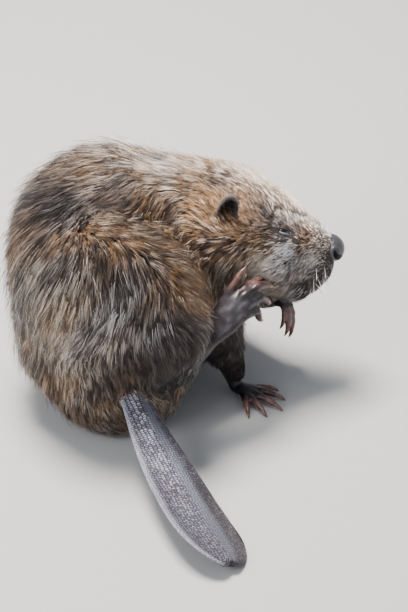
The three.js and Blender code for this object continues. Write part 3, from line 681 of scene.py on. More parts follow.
# For each paw: its heel and the way it points, how far its digits start lifted and how much each
# joint bends, each digit's share of that, their spread, and the wrist or ankle that it grows from.
PAWS = {
    "right_fore": dict(
        kind=FORE, side=-1, at=(119, 6, 6.2), forward=(0.82, -0.57, 0), up=(0, 0, 1),
        lift=0, bends=(-2, 6, 6), each=(1, 1, 1, 1, 1), spread=1,
        stump=((112, 2, 48), (119, 5, 22), (124, 4, 9)),
    ),
    "left_fore": dict(
        kind=FORE, side=1, at=(154, 60, 78), forward=(0.95, -0.28, -0.12), up=(0.12, 0.1, 0.98),
        lift=-8, bends=(58, 12, 4), each=(1.05, 1, 1, 1, 1.1), spread=0.3,
        stump=((130, 80, 77), (148, 66, 80), (160, 58, 78)),
    ),
    "right_hind": dict(
        kind=HIND, side=-1, at=(70, -82, 86), forward=(0.62, 0.37, 0.69), up=(-0.36, -0.62, 0.64),
        lift=0, bends=(8, 30, 36), each=(-0.1, 0.6, 1, 1.2, 1.45), spread=0.16,
        stump=((62, -72, 112), (66, -78, 98), (76, -78, 94)),
    ),
    "left_hind": dict(
        kind=HIND, side=1, at=(-26, 104, 9.3), forward=(1, 0.04, 0), up=(0, 0, 1),
        lift=-4, bends=(0, 0, 3), each=(1, 1, 1, 1, 1), spread=1,
        stump=((10, 108, 40), (-12, 106, 24), (-14, 104, 12)),
    ),
}
BONES = (0.38, 0.33, 0.29)  # of a digit, as shares of its length
KNUCKLES = np.array([1.06, 0.86, 0.98, 0.80, 0.88, 0.70])  # radii along a digit
TOE_TIP = np.array([0.9, 0.8, 0.72])
PAW_GRAIN = 1.25
PAW_ROUNDS = 14  # of relaxing, which is gentlest near the toe tips
WEB_THICKNESS = 2.6
WEB_SAG = 1.6
WEB_NOTCH = 0.22  # how far its edge is drawn in


def tube(line, radii, sides=6):
    """A round limb along a smooth line, with its own radius at each of the line's points."""
    bpy.ops.object.select_all(action="DESELECT")
    bpy.ops.curve.primitive_nurbs_path_add()
    rod = bpy.context.object
    spans = np.linspace(0, 1, 4 * len(line) - 3)
    places = smooth_line(line, spans)[0]
    sizes = np.interp(spans, np.linspace(0, 1, len(radii)), radii)
    rod.data.splines.clear()
    spline = rod.data.splines.new("POLY")
    spline.points.add(len(places) - 1)
    for point, place, size in zip(spline.points, places, sizes):
        point.co = (*(place * MM), 1)
        point.radius = size * MM
    rod.data.bevel_depth = 1
    rod.data.bevel_resolution = sides
    rod.data.use_fill_caps = True
    bpy.ops.object.convert(target="MESH")
    return bpy.context.object


def lump(at, radii, axes):
    """An oval swelling, with its radii along the three axes."""
    piece, places = ball_mesh("lump", 16, 10)
    move_points(piece, np.asarray(at, float) + places * radii @ axes)
    return piece


def web_between(line_a, line_b, share, axes):
    """The thin web between two toes: it hangs slack between them and its edge is drawn in."""
    bpy.ops.object.select_all(action="DESELECT")
    bpy.ops.mesh.primitive_grid_add(x_subdivisions=8, y_subdivisions=6, size=2)
    piece = bpy.context.object
    across, ahead = ((points_of(piece) * MM)[:, :2].T + 1) / 2
    edge = 1 - WEB_NOTCH * np.sin(across * np.pi)
    a = smooth_line(line_a, ahead * share * edge)[0]
    b = smooth_line(line_b, ahead * share * edge)[0]
    sag = -WEB_SAG * np.sin(across * np.pi) * np.sin(ahead * np.pi)
    move_points(piece, a + (b - a) * across[:, None] + sag[:, None] * axes[2])
    thick = piece.modifiers.new("thick", "SOLIDIFY")
    thick.thickness = WEB_THICKNESS * MM
    thick.offset = 0
    bpy.ops.object.modifier_apply(modifier=thick.name)
    return piece


def toe_lines(paw):
    """The joints of each digit, from the sole to the claw, with the side that the toe is wide to."""
    axes = axes_of(paw["forward"], paw["up"])
    length, _, toe_width, _ = paw["kind"]["sole"]
    lines = []
    for number, (out, splay, long, fat) in enumerate(paw["kind"]["digits"]):
        turn = math.radians(paw["side"] * splay * paw["spread"])
        point = np.array([length * (1 - 0.2 * abs(out)), paw["side"] * out * toe_width / 2.2, 0])
        line, pitch = [point], paw["lift"]
        for bone, bend in zip(BONES, paw["bends"]):
            pitch -= bend * paw["each"][number]
            level, rise = math.cos(math.radians(pitch)), math.sin(math.radians(pitch))
            point = point + bone * long * np.array([level * math.cos(turn), level * math.sin(turn), rise])
            line.append(point)
        lines.append((np.asarray(paw["at"]) + np.array(line) @ axes, fat))
    return lines, axes


def paw_mesh(name, paw):
    """A paw grown together from its stump, sole, bones, digits and webs."""
    kind = paw["kind"]
    length, heel_width, toe_width, thickness = kind["sole"]
    lines, axes = toe_lines(paw)
    at = np.asarray(paw["at"], float)
    heel = at + np.array([0.06 * length, 0, 0]) @ axes
    made = [tube(paw["stump"], (0.5 * heel_width, 0.46 * heel_width, 0.40 * heel_width))]
    middle = at + np.array([0.45 * length, 0, -0.04 * thickness]) @ axes
    made.append(lump(middle, (0.52 * length, 0.40 * (heel_width + toe_width) / 2, 0.40 * thickness), axes))
    for line, fat in lines:
        size = kind["thick"] * fat
        root = heel + 0.28 * (line[0] - heel) + 0.10 * thickness * axes[2]
        bone = [root, (root + line[0]) / 2 + 0.05 * thickness * axes[2], line[0]]
        made.append(tube(bone, (0.85 * size, 0.85 * size, 1.0 * size)))
        knuckles = [line[0], (line[0] + line[1]) / 2, line[1], (line[1] + line[2]) / 2, line[2], line[3]]
        made.append(tube(knuckles, KNUCKLES * size))
        last = line[3] - line[2]
        made.append(lump(line[3] - 0.12 * last, TOE_TIP * size, axes_of(last, axes[2])))
    if kind["web"]:
        for (line_a, _), (line_b, _) in zip(lines, lines[1:]):
            made.append(web_between(line_a, line_b, kind["web"], axes))
    foot = joined(made, f"{name}_paw")
    grown_together(foot, PAW_GRAIN)
    tips = np.array([line[3] for line, _ in lines])
    gap = np.linalg.norm(points_of(foot)[:, None] - tips[None], axis=2).min(1)
    points = relaxed(points_of(foot), edges_of(foot), PAW_ROUNDS, np.clip(gap / 45, 0.15, 0.7))
    points[:, 2] = np.maximum(points[:, 2], BARE_BASE)
    move_points(foot, points)
    bpy.ops.object.shade_smooth()
    keep_trait(foot, "paw_map", np.clip(gap / 30, 0, 1))
    return foot


PAW_GREY = (0.009, 0.007, 0.008, 1)
PAW_SHEEN = (0.034, 0.027, 0.032, 1)
PAW_PINK = (0.20, 0.085, 0.068, 1)
paw_finish = Finish("paw_skin", Roughness=0.38)
from_tip = paw_finish.parts(paw_finish.trait("paw_map", "Vector"))[0]
blotch = paw_finish.noise(60, 3)
creases = paw_finish.noise(900, 6, 0.65)
# Blotches of painted sheen lighten the dark skin.
grey = paw_finish.mix(paw_finish.between(blotch, 0.35, 0.7), PAW_GREY, PAW_SHEEN)
flush = paw_finish.between(from_tip, 0.7, 0.1) * paw_finish.between(blotch, 0.3, 0.6, 0.15, 0.7)
paw_finish.feed(
    Base_Color=paw_finish.mix(flush, grey, PAW_PINK),
    Roughness=paw_finish.between(blotch, 0.3, 0.7, 0.33, 0.42),
    Normal=paw_finish.bump(creases, 0.00025, 0.4),
)
paws = [paw_mesh(name, paw) for name, paw in PAWS.items()]
for paw in paws:
    paw.data.materials.append(paw_finish.material)


# ---------------------------------------------------------------- claws
# Blunt horn claws that go on from the ends of the digits and hook a little towards the sole.
CLAW_GAP = 0.35  # between the toe and the claw
CLAW_ROOT = 3.0  # the length of it inside the toe
CLAW_TAPER = np.array([0.8, 1.0, 0.88, 0.6, 0.18])
CLAW_HOOK = 0.25
HORN_DARK = (0.040, 0.022, 0.018, 1)
HORN_PALE = (0.27, 0.125, 0.092, 1)
horn_finish = Finish("claw_horn", Roughness=0.3)
streak = horn_finish.noise(260, 5)
horn_finish.feed(
    Base_Color=horn_finish.mix(horn_finish.between(streak, 0.3, 0.7), HORN_DARK, HORN_PALE),
    Normal=horn_finish.bump(streak, 0.0003, 0.5),
)
for name, paw in PAWS.items():
    length, radius = paw["kind"]["claw"]
    lines, axes = toe_lines(paw)
    for number, (line, _) in enumerate(lines, 1):
        ahead = unit(line[3] - line[2])
        side = unit(np.cross(axes[2], ahead))
        sole = np.cross(side, ahead)
        sole = -sole if sole @ axes[2] > 0 else sole
        reach = np.array([CLAW_GAP - CLAW_ROOT, CLAW_GAP, 0.35 * length, 0.7 * length, length])[:, None]
        hook = CLAW_HOOK * np.maximum(reach, 0) ** 2 / length
        claw = tube(line[3] + reach * ahead + hook * sole, radius * CLAW_TAPER)
        claw.name = claw.data.name = f"{name}_horn_{number}"
        points = points_of(claw)
        points[:, 2] = np.maximum(points[:, 2], CLAW_BASE)
        move_points(claw, points)
        bpy.ops.object.shade_smooth()
        claw.data.materials.append(horn_finish.material)
        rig.ride(claw, "root")
        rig.slot(claw, "claw")
        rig.replaces(claw, f"{name}_claw_{number}")


# ---------------------------------------------------------------- ears
# Small round leathery shells, cupped forward and out, with a thick rim, charcoal under short down.
EAR_AT = (-9, 50, 14)
EAR_SIZE = (8.8, 10.5, 16.7)
EAR_LEAN, EAR_BACK, EAR_OPEN = (math.radians(a) for a in (-20, -10, 72))
EAR_CUP = 0.86  # how far out the hollow reaches, as a share of the ear
EAR_LEATHER = ((0.016, 0.013, 0.012, 1), (0.052, 0.042, 0.037, 1))
EAR_HOLLOW_SHADE = (0.006, 0.005, 0.005, 1)
ears, ear_rims = [], []
for side in (-1, 1):
    ear, places = ball_mesh("ear", 40, 32)
    rim = np.linalg.norm(places[:, 1:], axis=1)
    cup = np.clip(1 - (rim / EAR_CUP) ** 2, 0, 1)
    front = places[:, 0] > 0
    places[:, 0] = np.where(front, 0.35 * places[:, 0] - cup**0.6, places[:, 0])
    places[:, 0] += 0.35 * places[:, 1] ** 2
    spin = Matrix.Rotation(side * EAR_LEAN, 3, "X") @ Matrix.Rotation(EAR_BACK, 3, "Y")
    spin = np.array(spin @ Matrix.Rotation(side * EAR_OPEN, 3, "Z"))
    keep_trait(ear, "ear_map", cup * front)
    shaped = (places * EAR_SIZE) @ spin.T + np.array(EAR_AT) * (1, side, 1)
    move_points(ear, from_head(shaped))
    ears.append(ear)
    ear_rims.append(rim)
ear_finish = Finish("ear_skin", Roughness=0.7, Specular_IOR_Level=0.25)
leather = ear_finish.mix(ear_finish.noise(220, 4), *EAR_LEATHER)
hollow = ear_finish.parts(ear_finish.trait("ear_map", "Vector"))[0]
# The hollow of each cup is darkened towards its middle with painted shade.
ear_finish.feed(
    Base_Color=ear_finish.mix(ear_finish.between(hollow, 0.05, 0.5), leather, EAR_HOLLOW_SHADE),
    Normal=ear_finish.bump(ear_finish.noise(1200, 4), 0.0005, 0.7),
)
for ear in ears:
    ear.data.materials.append(ear_finish.material)


# ---------------------------------------------------------------- nose
# The bare pad on the end of the muzzle, dark, damp and finely pebbled, with a comma of a nostril on
# each side, a swollen wing behind it and a groove down its middle. Their sizes are shares of its own.
NOSTRIL_LINE = ((0.62, 0.74, -0.16), (0.46, 0.86, -0.14), (0.26, 0.95, 0.0), (0.16, 0.97, 0.2))
NOSTRIL_WIDTH = np.linspace(0.21, 0.07, 24)  # along its line
NOSTRIL_DEPTH = 0.5
WING_AWAY = 0.26
WING_HEIGHT = 0.07
NOSE_GROOVE = 0.09
NOSE_SKIN = ((0.018, 0.017, 0.019, 1), (0.065, 0.062, 0.068, 1))
nose, places = ball_mesh("nose_pad", 80, 60)
for side in (-1, 1):
    line = smooth_line(np.array(NOSTRIL_LINE) * (1, side, 1), np.linspace(0, 1, len(NOSTRIL_WIDTH)))[0]
    gap = np.linalg.norm(places[:, None] - unit(line)[None], axis=2)
    slit = np.exp(-((gap / NOSTRIL_WIDTH) ** 4)).max(1)
    wing = np.exp(-((gap.min(1) - WING_AWAY) / 0.10) ** 2)
    places = places * (1 - NOSTRIL_DEPTH * slit + WING_HEIGHT * wing)[:, None]
groove = np.exp(-((places[:, 1] / 0.05) ** 2)) * (places[:, 0] > 0.3) * (places[:, 2] < 0.5)
places[:, 0] -= NOSE_GROOVE * groove
move_points(nose, from_head(places * NOSE_SIZE + NOSE_AT))
nose_finish = Finish("nose_skin", Roughness=0.3)
grains = {"Vector": nose_finish.place(), "Scale": 800.0}
pebbles = nose_finish.node("ShaderNodeTexVoronoi", {}, grains, "Distance")
nose_finish.feed(
    Base_Color=nose_finish.mix(nose_finish.noise(300, 3), *NOSE_SKIN),
    Normal=nose_finish.bump(1 - pebbles, 0.0005, 0.7),
)
nose.data.materials.append(nose_finish.material)


# ---------------------------------------------------------------- eyes
# Small wet near-black eyes, half shut: a bare lid is drawn over each, open along a narrow slit, and
# the lower one is pale.
EYE_AT = (55, 34.6, 14.5)
EYE_RADIUS = 6.0
LID_THICKNESS = 0.9
LID_SINK = 2.4  # how far the lid goes in where it is open
SLIT_LENGTH, SLIT_HEIGHT = 0.84, 0.26  # halves, as shares of the radius
SLIT_RISE = 0.22  # of its middle over the eye's
SLIT_TILT = math.radians(10)
EYE_BLACK = (0.012, 0.009, 0.008, 1)
LID_BROWN = (0.030, 0.022, 0.018, 1)
LID_PALE = (0.22, 0.22, 0.26, 1)
eye_finish = Finish("eye", Roughness=0.08, Specular_IOR_Level=0.35)
eye_finish.feed(Base_Color=EYE_BLACK)
lid_finish = Finish("lid_skin", Roughness=0.7, Specular_IOR_Level=0.25)
lid_low, lid_edge, _ = lid_finish.parts(lid_finish.trait("lid_map", "Vector"))
lid_finish.feed(
    Base_Color=lid_finish.mix(lid_low * lid_edge, LID_BROWN, LID_PALE),
    Normal=lid_finish.bump(lid_finish.noise(1500, 4), 0.0004, 0.6),
)
lids = []
for side, name in ((-1, "right"), (1, "left")):
    eye_at = from_head(np.array(EYE_AT) * (1, side, 1))
    eye, places = ball_mesh(f"{name}_eyeball", 32, 24)
    move_points(eye, eye_at + EYE_RADIUS * places)
    eye.data.materials.append(eye_finish.material)
    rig.ride(eye, "root")
    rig.slot(eye, "eye")
    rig.replaces(eye, f"{name}_eye")
    lid, places = ball_mesh(f"{name}_lid", 64, 48)
    ahead = places[:, 0] * math.cos(SLIT_TILT) + places[:, 2] * math.sin(SLIT_TILT)
    above = places[:, 2] * math.cos(SLIT_TILT) - places[:, 0] * math.sin(SLIT_TILT)
    oval = np.hypot(ahead / SLIT_LENGTH, (above - SLIT_RISE + 0.14 * ahead**2) / SLIT_HEIGHT)
    open_eye = np.clip((1.12 - oval) / 0.24, 0, 1) * (places[:, 1] * side > 0)
    fold = 0.06 * np.exp(-((above - 0.66) / 0.07) ** 2) + 0.04 * np.exp(-((above + 0.35) / 0.08) ** 2)
    swell = EYE_RADIUS + LID_THICKNESS - EYE_RADIUS * fold - LID_SINK * open_eye
    move_points(lid, eye_at + way_from_head(places) * swell[:, None])
    low = np.clip(-4 * (above - 0.24), 0, 1)
    beside = np.exp(-(((oval - 1.25) / 0.6) ** 2))
    keep_trait(lid, "lid_map", low, beside)
    lid.data.materials.append(lid_finish.material)
    lids.append(lid)


# ---------------------------------------------------------------- coat
# Thin pointed locks, rooted on the skin, combed along it the way the chart says and drawn together
# twice, into small tufts and then into larger ones, with dark gaps between, deepened by painted shade
# in the darker tufts. Long guard hairs rise out of them. Where the coat is short it is single straight hairs.
FURROW = ("furrow_rear", "furrow_top", "furrow_mid", "furrow_front", "furrow_low")
COAT_PIECES = {
    "coat_cheeks": ("cheek", "jaw", "jowl", "throat", "chin_side", "under_eye"),
    "coat_crown": (
        "forehead", "crown", "brow_top", "brow", "temple", "eye_back", "ear_front", "nose_bridge",
    ),
    "coat_neck": ("ear_back", "nape", "neck_right", "neck_left"),
    "coat_shoulders": ("shoulder_right", "shoulder_left", "chest", "belly"),
    "coat_furrow": (*FURROW, "haunch_top", "haunch_front"),
    "coat_back": ("saddle_rear", "saddle", "saddle_front", "back", "back_right", "back_left", "back_rear"),
    "coat_rump": ("rump", "rump_right", "tail_root", "buttock"),
    "coat_seat": ("rump_left", "seat", "seat_left", "under"),
    "coat_flanks": ("flank_right", "flank_left", "haunch_back"),
    "coat_haunch": ("haunch", "haunch_low", "haunch_under", "knee", "shank_right", "heel_right"),
    "coat_far_leg": ("haunch_left", "knee_left", "heel_left"),
    "coat_arms": ("arm_right", "elbow_right", "wrist_right", "elbow_left", "forearm_left", "wrist_left"),
}
GUARD_PIECES = {
    "guard_head": ("coat_cheeks", "coat_crown", "coat_neck"),
    "guard_back": ("coat_furrow", "coat_back"),
    "guard_rear": ("coat_rump", "coat_seat", "coat_flanks"),
    "guard_legs": ("coat_haunch", "coat_far_leg", "coat_arms", "coat_shoulders"),
}
HIDDEN = ("under", "seat", "seat_left", "heel_left", "knee_left", "haunch_left", "belly")
FURROW_WIDTH = 15
FURROW_THINNING = 0.6  # how much lower the hair lies in the furrow
LOCKS = 122000
FULL_LENGTH = 30  # of the hair on the back, which the widths are given for
LOCK_WIDTH = 1.15
SHORT = 10.5  # hair shorter than this is single and straight
GUARDS = 180000
GUARD_WIDTH = 0.56
STRAYS = 0.11  # the share of them that stand up out of the rest
HAIR_BASE = 0.6  # hair keeps this far off the floor, and is rooted this deep in the skin
# The extra pale tips of the brightest tufts are a painted shine.
SHINE_LOCKS, SHINE_SHORT, SHINE_GUARDS = 0.3, 1.2, 1.7  # how pale the tips of the brightest are
rng = np.random.default_rng(7)


def face_table(piece):
    """Triangles of a mesh: their corners' numbers, and their areas in square millimetres."""
    piece.data.calc_loop_triangles()
    flat = np.empty(len(piece.data.loop_triangles) * 3, np.int32)
    piece.data.loop_triangles.foreach_get("vertices", flat)
    corners = flat.reshape(-1, 3)
    a, b, c = (points_of(piece)[corners[:, i]] for i in range(3))
    return corners, np.linalg.norm(np.cross(b - a, c - a), axis=1) / 2


skin_points, skin_normals = points_of(skin), normals_of(skin)
skin_faces, skin_areas = face_table(skin)
skin_tree = BVHTree.FromPolygons(skin_points.tolist(), skin_faces.tolist())


def furrow_depth(points):
    """How far down into the crease before the haunch the points are, from 0 beside it to 1."""
    line = smooth_line([BODY_CHART[name][0] for name in FURROW], np.linspace(0, 1, 40))[0]
    gap = np.concatenate([
        np.linalg.norm(points[i : i + BATCH, None] - line[None], axis=2).min(1)
        for i in range(0, len(points), BATCH)
    ])
    return np.exp(-((gap / FURROW_WIDTH) ** 2))


def strewn_roots(count, crowding):
    """Random places on the skin with their normals; crowding is how dense they are at a vertex."""
    weight = skin_areas * crowding[skin_faces].mean(1)
    face = rng.choice(len(weight), count, p=weight / weight.sum())
    u, v = rng.random((2, count))
    fold = u + v > 1
    u[fold], v[fold] = 1 - u[fold], 1 - v[fold]
    share = np.stack([1 - u - v, u, v], 1)[:, :, None]
    corners = skin_faces[face]
    return (skin_points[corners] * share).sum(1), unit((skin_normals[corners] * share).sum(1))


def on_skin(points):
    """The nearest places of the skin, and the way out of it there."""
    hits = [skin_tree.find_nearest(p) for p in points.tolist()]
    return np.array([hit[0] for hit in hits]), np.array([hit[1] for hit in hits])


def along_skin(ways, normals):
    """The ways laid flat on the skin."""
    return unit(ways - (ways * normals).sum(1, keepdims=True) * normals)


def swirl(points, size, seed):
    """A smooth wandering value between -1 and 1, of about one wave in size millimetres."""
    wave = np.random.default_rng(seed).normal(size=(5, 3)) / size * 3.2
    return np.sin(points @ wave.T + wave[:, 0] * 90).sum(1) / 2.5


def combed(roots, normals, lengths, heights, lies, stray):
    """Root, middle and tip of each lock, combed along the skin, and the way out of it at the tip."""
    turn = 0.34 * swirl(roots, 60, 1) + 0.34 * swirl(roots, 22, 2) + stray * rng.normal(size=len(roots))
    way = along_skin(lies, normals)
    way = way * np.cos(turn)[:, None] + np.cross(normals, way) * np.sin(turn)[:, None]
    line = [roots - HAIR_BASE * normals]
    at, out = roots, normals
    for share in (0.62, 1.0):
        at, out = on_skin(at + 0.5 * lengths[:, None] * way)
        line.append(at + (heights * share)[:, None] * out)
        way = along_skin(way - 0.12 * UP, out)
    return np.stack(line, 1), out


def gathered(lines, lengths, share, pull):
    """The locks drawn towards a share of them that lead, the more the nearer the tip, and a random
    number for each that its tuft has in common."""
    leaders = rng.random(len(lines)) < share
    tree = KDTree(int(leaders.sum()))
    for i, line in enumerate(lines[leaders]):
        tree.insert(line[1], i)
    tree.balance()
    chief = np.array([tree.find(p)[1] for p in lines[:, 1].tolist()])
    shift = lines[leaders][chief] - lines
    far = np.linalg.norm(shift[:, 1], axis=1)
    hold = pull * np.clip(1.7 - far / (0.3 * lengths), 0, 1)
    lines = lines.copy()
    lines[:, 1] += 0.4 * hold[:, None] * shift[:, 1]
    lines[:, 2] += hold[:, None] * shift[:, 2]
    return lines, rng.random(int(leaders.sum()))[chief]


def locks_mesh(name, lines, normals, widths, traits, flat_map):
    """Three-sided pointed locks along the lines, as one mesh with the traits of its hair."""
    count, rows = lines.shape[:2]
    ahead = unit(lines[:, -1] - lines[:, 0])
    side = unit(np.cross(ahead, normals))
    over = np.cross(side, ahead)
    rings = []
    for row in range(rows - 1):
        half = (widths * (0.75 if row == 0 and rows > 2 else 1.0) / 2)[:, None]
        centre = lines[:, row]
        rings += [centre - half * side, centre + half * side, centre + 0.9 * half * over]
    points = np.stack([*rings, lines[:, -1]], 1)
    corners = points.shape[1]
    sides = [(r, r + 1, r + 4, r + 3) for r in range(0, corners - 4, 3)]
    sides += [(r + 1, r + 2, r + 5, r + 4) for r in range(0, corners - 4, 3)]
    sides += [(r + 2, r, r + 3, r + 5) for r in range(0, corners - 4, 3)]
    last = corners - 4
    tops = [(last, last + 1, last + 3), (last + 1, last + 2, last + 3), (last + 2, last, last + 3)]
    base = (np.arange(count) * corners)[:, None]
    loops = (base + np.array([i for face in sides + tops for i in face])[None]).ravel()
    sizes = np.tile([4] * len(sides) + [3] * 3, count)
    mesh = bpy.data.meshes.new(name)
    mesh.vertices.add(count * corners)
    mesh.loops.add(len(loops))
    mesh.polygons.add(len(sizes))
    mesh.vertices.foreach_set("co", (points * MM).astype(np.float32).ravel())
    mesh.loops.foreach_set("vertex_index", loops.astype(np.int32))
    mesh.polygons.foreach_set("loop_start", np.concatenate([[0], np.cumsum(sizes)[:-1]]).astype(np.int32))
    mesh.polygons.foreach_set("use_smooth", np.ones(len(sizes), bool))
    mesh.update(calc_edges=True)
    reach = np.repeat(np.linspace(0 if rows > 2 else 0.5, 1, rows), 3)[:corners]
    hair = np.empty((count, corners, 4), np.float32)
    hair[:, :, 0] = reach
    hair[:, :, 1:] = traits[:, None, :]
    store = mesh.attributes.new("hair", "FLOAT_COLOR", "POINT")
    store.data.foreach_set("color", hair.ravel())
    across = np.tile([-0.5, 0.5, 0.0], rows)[:corners]
    patch = flat_map[:, None, :] + 0.003 * np.stack([across, reach - 0.5], 1)[None]
    uv = mesh.uv_layers.new(name="OFBake")
    uv.data.foreach_set("uv", patch.reshape(-1, 2)[loops].astype(np.float32).ravel())
    piece = bpy.data.objects.new(name, mesh)
    bpy.context.collection.objects.link(piece)
    piece.data.materials.append(coat_finish.material)
    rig.ride(piece, "root")
    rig.slot(piece, "fur")
    return piece


def unrolled(points):
    """Places of a part of the skin unrolled round its own middle on to the unit square."""
    away = points - points.mean(0)
    spans = np.linalg.svd(away[:: max(len(away) // 2000, 1)], full_matrices=False)[2]
    x, y, z = (away @ spans.T).T
    turn = np.arctan2(z, y) / (2 * np.pi) + 0.5
    tilt = (x - x.min()) / (x.max() - x.min())
    return 0.01 + 0.98 * np.stack([turn, tilt], 1)


def width_of(size, lengths, low, high):
    """The widths of hairs, which are finer where they are shorter."""
    return size * (lengths / FULL_LENGTH) ** 0.5 * rng.uniform(low, high, len(lengths))


HAIR_ROOT = (0.022, 0.016, 0.013, 1)
CHARCOAL = (0.022, 0.018, 0.018, 1)
GREY_BROWN = (0.104, 0.080, 0.074, 1)
GOLDEN = (0.40, 0.205, 0.082, 1)
CREAM = (0.96, 0.84, 0.70, 1)
SILVER = (0.91, 0.88, 0.89, 1)
coat_finish = Finish("guard_hair", Roughness=0.42)
hair = coat_finish.trait("hair", "Color")
along, warm, pale = (coat_finish.node("ShaderNodeSeparateColor", {}, {0: hair}, i) for i in range(3))
dark = coat_finish.trait("hair", "Alpha")
cool = coat_finish.mix(coat_finish.between(warm, 0.0, 0.5), CHARCOAL, GREY_BROWN)
middle = coat_finish.mix(coat_finish.between(warm, 0.5, 1.0), cool, GOLDEN)
middle = coat_finish.mix(dark * 0.8, middle, HAIR_ROOT)
shade = coat_finish.mix(coat_finish.between(along, 0.05, 0.6), HAIR_ROOT, middle)
tips = coat_finish.between(along, 0.25, 0.85) * pale
tip_shade = coat_finish.mix(coat_finish.between(warm, 0.35, 0.8), SILVER, CREAM)
coat_finish.feed(Base_Color=coat_finish.mix(tips, shade, tip_shade))

chart_names = [*BODY_CHART, *HEAD_CHART, *[name for name in HEAD_SIDE_CHART for _ in (-1, 1)]]
chart_piece = np.array([
    next((i for i, names in enumerate(COAT_PIECES.values()) if name in names), 0) for name in chart_names
])
SHORT_PIECES = ("coat_face", "coat_feet")
FACE = len(COAT_PIECES)
FEET = FACE + 1
on_head = np.array([name in HEAD_CHART or name in HEAD_SIDE_CHART for name in chart_names])


def nearest_chart(points):
    """The numbers of the chart's places that the points are nearest to."""
    return np.array([((CHART_PLACES - p) ** 2).sum(1).argmin() for p in points])


def hair_traits(roots, chart, tuft, tone, shine):
    """Warmth, paleness and darkness of hairs, which wander over the body and from tuft to tuft."""
    count = len(roots)
    warmth = chart[:, WARM] + 0.3 * swirl(roots, 42, 5) + 0.2 * rng.normal(size=count) + 0.6 * (tuft - 0.5)
    patch = 0.8 + 0.35 * swirl(roots, 36, 9)
    bright = 0.03 + 0.4 * np.clip(chart[:, PALE] - 1.2, 0, 1.4) + shine * np.clip(5 * (tuft - 0.64), 0, 1)
    paleness = chart[:, PALE] * patch * (0.5 + tone) * bright * (0.15 + 1.6 * rng.random(count) ** 1.6)
    # Darker tufts are partly random tone and partly painted shade that deepens the gaps between tufts.
    dark = 1.42 - 2.6 * tuft + 0.5 * rng.random(count)
    return np.clip(np.stack([0.5 + 0.5 * warmth, paleness, dark], 1), 0, 1)


# The skin is bald round the eyes and ears and under the nose pad, and nothing grows where it sits
# down. Hair is sparser where it is long or out of sight, and densest on the face.
BALD_BELOW = 3
EYE_BALD = 6.2
EAR_BALD = 6.5
PAD_BALD = 0.97  # as a share of the pad's size
bald = skin_points[:, 2] < BALD_BELOW
for side in (-1, 1):
    bald |= np.linalg.norm(skin_points - from_head(np.array(EYE_AT) * (1, side, 1)), axis=1) < EYE_BALD
    bald |= np.linalg.norm(skin_points - from_head(np.array(EAR_AT) * (1, side, 1)), axis=1) < EAR_BALD
bald |= np.linalg.norm((in_head(skin_points) - NOSE_AT) / NOSE_SIZE, axis=1) < PAD_BALD
skin_chart = read_chart(skin_points)
skin_home = nearest_chart(skin_points)
short_skin = skin_chart[:, LENGTH] < SHORT
crowding = (skin_chart[:, LENGTH] + 3) ** -1.0
crowding[bald] = 0
crowding[np.isin(skin_home, [i for i, name in enumerate(chart_names) if name in HIDDEN])] *= 0.5
crowding[on_head[skin_home] & short_skin] *= 1.8

roots, out = strewn_roots(LOCKS, crowding)
chart = read_chart(roots)
lengths = chart[:, LENGTH] * rng.uniform(0.75, 1.15, LOCKS)
heights = chart[:, DEPTH] * (1 - 0.35 * rng.random(LOCKS)) * (1 - FURROW_THINNING * furrow_depth(roots))
lines, tip_out = combed(roots, out, lengths, heights, chart[:, LIE], 0.12)
lines, tuft = gathered(lines, lengths, 0.20, 0.60)
lines, tone = gathered(lines, lengths, 0.03, 0.35)
lines[:, 2] += ((tone - 0.6) * 0.55 * chart[:, DEPTH])[:, None] * tip_out
lines[:, :, 2] = np.maximum(lines[:, :, 2], HAIR_BASE)
widths = width_of(LOCK_WIDTH, chart[:, LENGTH], 0.55, 1.3)
short = chart[:, LENGTH] < SHORT
traits = hair_traits(roots, chart, tuft, tone, np.where(short, SHINE_SHORT, SHINE_LOCKS))
nearest = nearest_chart(roots)
home = np.where(short, np.where(on_head[nearest], FACE, FEET), chart_piece[nearest])
for number, name in enumerate([*COAT_PIECES, *SHORT_PIECES]):
    mine = home == number
    joints = slice(None) if name in COAT_PIECES else slice(None, None, 2)
    locks_mesh(name, lines[mine][:, joints], out[mine], widths[mine], traits[mine], unrolled(roots[mine]))

# The long guard hairs start halfway up the coat, stand out of it and catch the light.
crowding[short_skin] = 0
roots, out = strewn_roots(GUARDS, crowding)
chart = read_chart(roots)
lengths = chart[:, LENGTH] * rng.uniform(0.8, 1.45, GUARDS)
heights = chart[:, DEPTH] * rng.uniform(0.75, 1.2, GUARDS) * (1 - FURROW_THINNING * furrow_depth(roots))
stray = rng.random(GUARDS) < STRAYS
heights[stray] *= rng.uniform(1.3, 2.0, stray.sum())
lines, tip_out = combed(roots, out, lengths, heights, chart[:, LIE], 0.22)
lines, tuft = gathered(lines, lengths, 0.17, 0.5)
lines, tone = gathered(lines, lengths, 0.02, 0.3)
lines[:, 2] += ((tuft - 0.5) * 0.35 * chart[:, DEPTH])[:, None] * tip_out
lines[:, :, 2] = np.maximum(lines[:, :, 2], HAIR_BASE)
traits = hair_traits(roots, chart, tuft, tone, SHINE_GUARDS)
widths = width_of(GUARD_WIDTH, chart[:, LENGTH], 0.6, 1.2)
home = chart_piece[nearest_chart(roots)]
for name, parts in GUARD_PIECES.items():
    mine = np.isin(home, [list(COAT_PIECES).index(part) for part in parts])
    locks_mesh(name, lines[mine][:, 1:], out[mine], widths[mine], traits[mine], unrolled(roots[mine]))

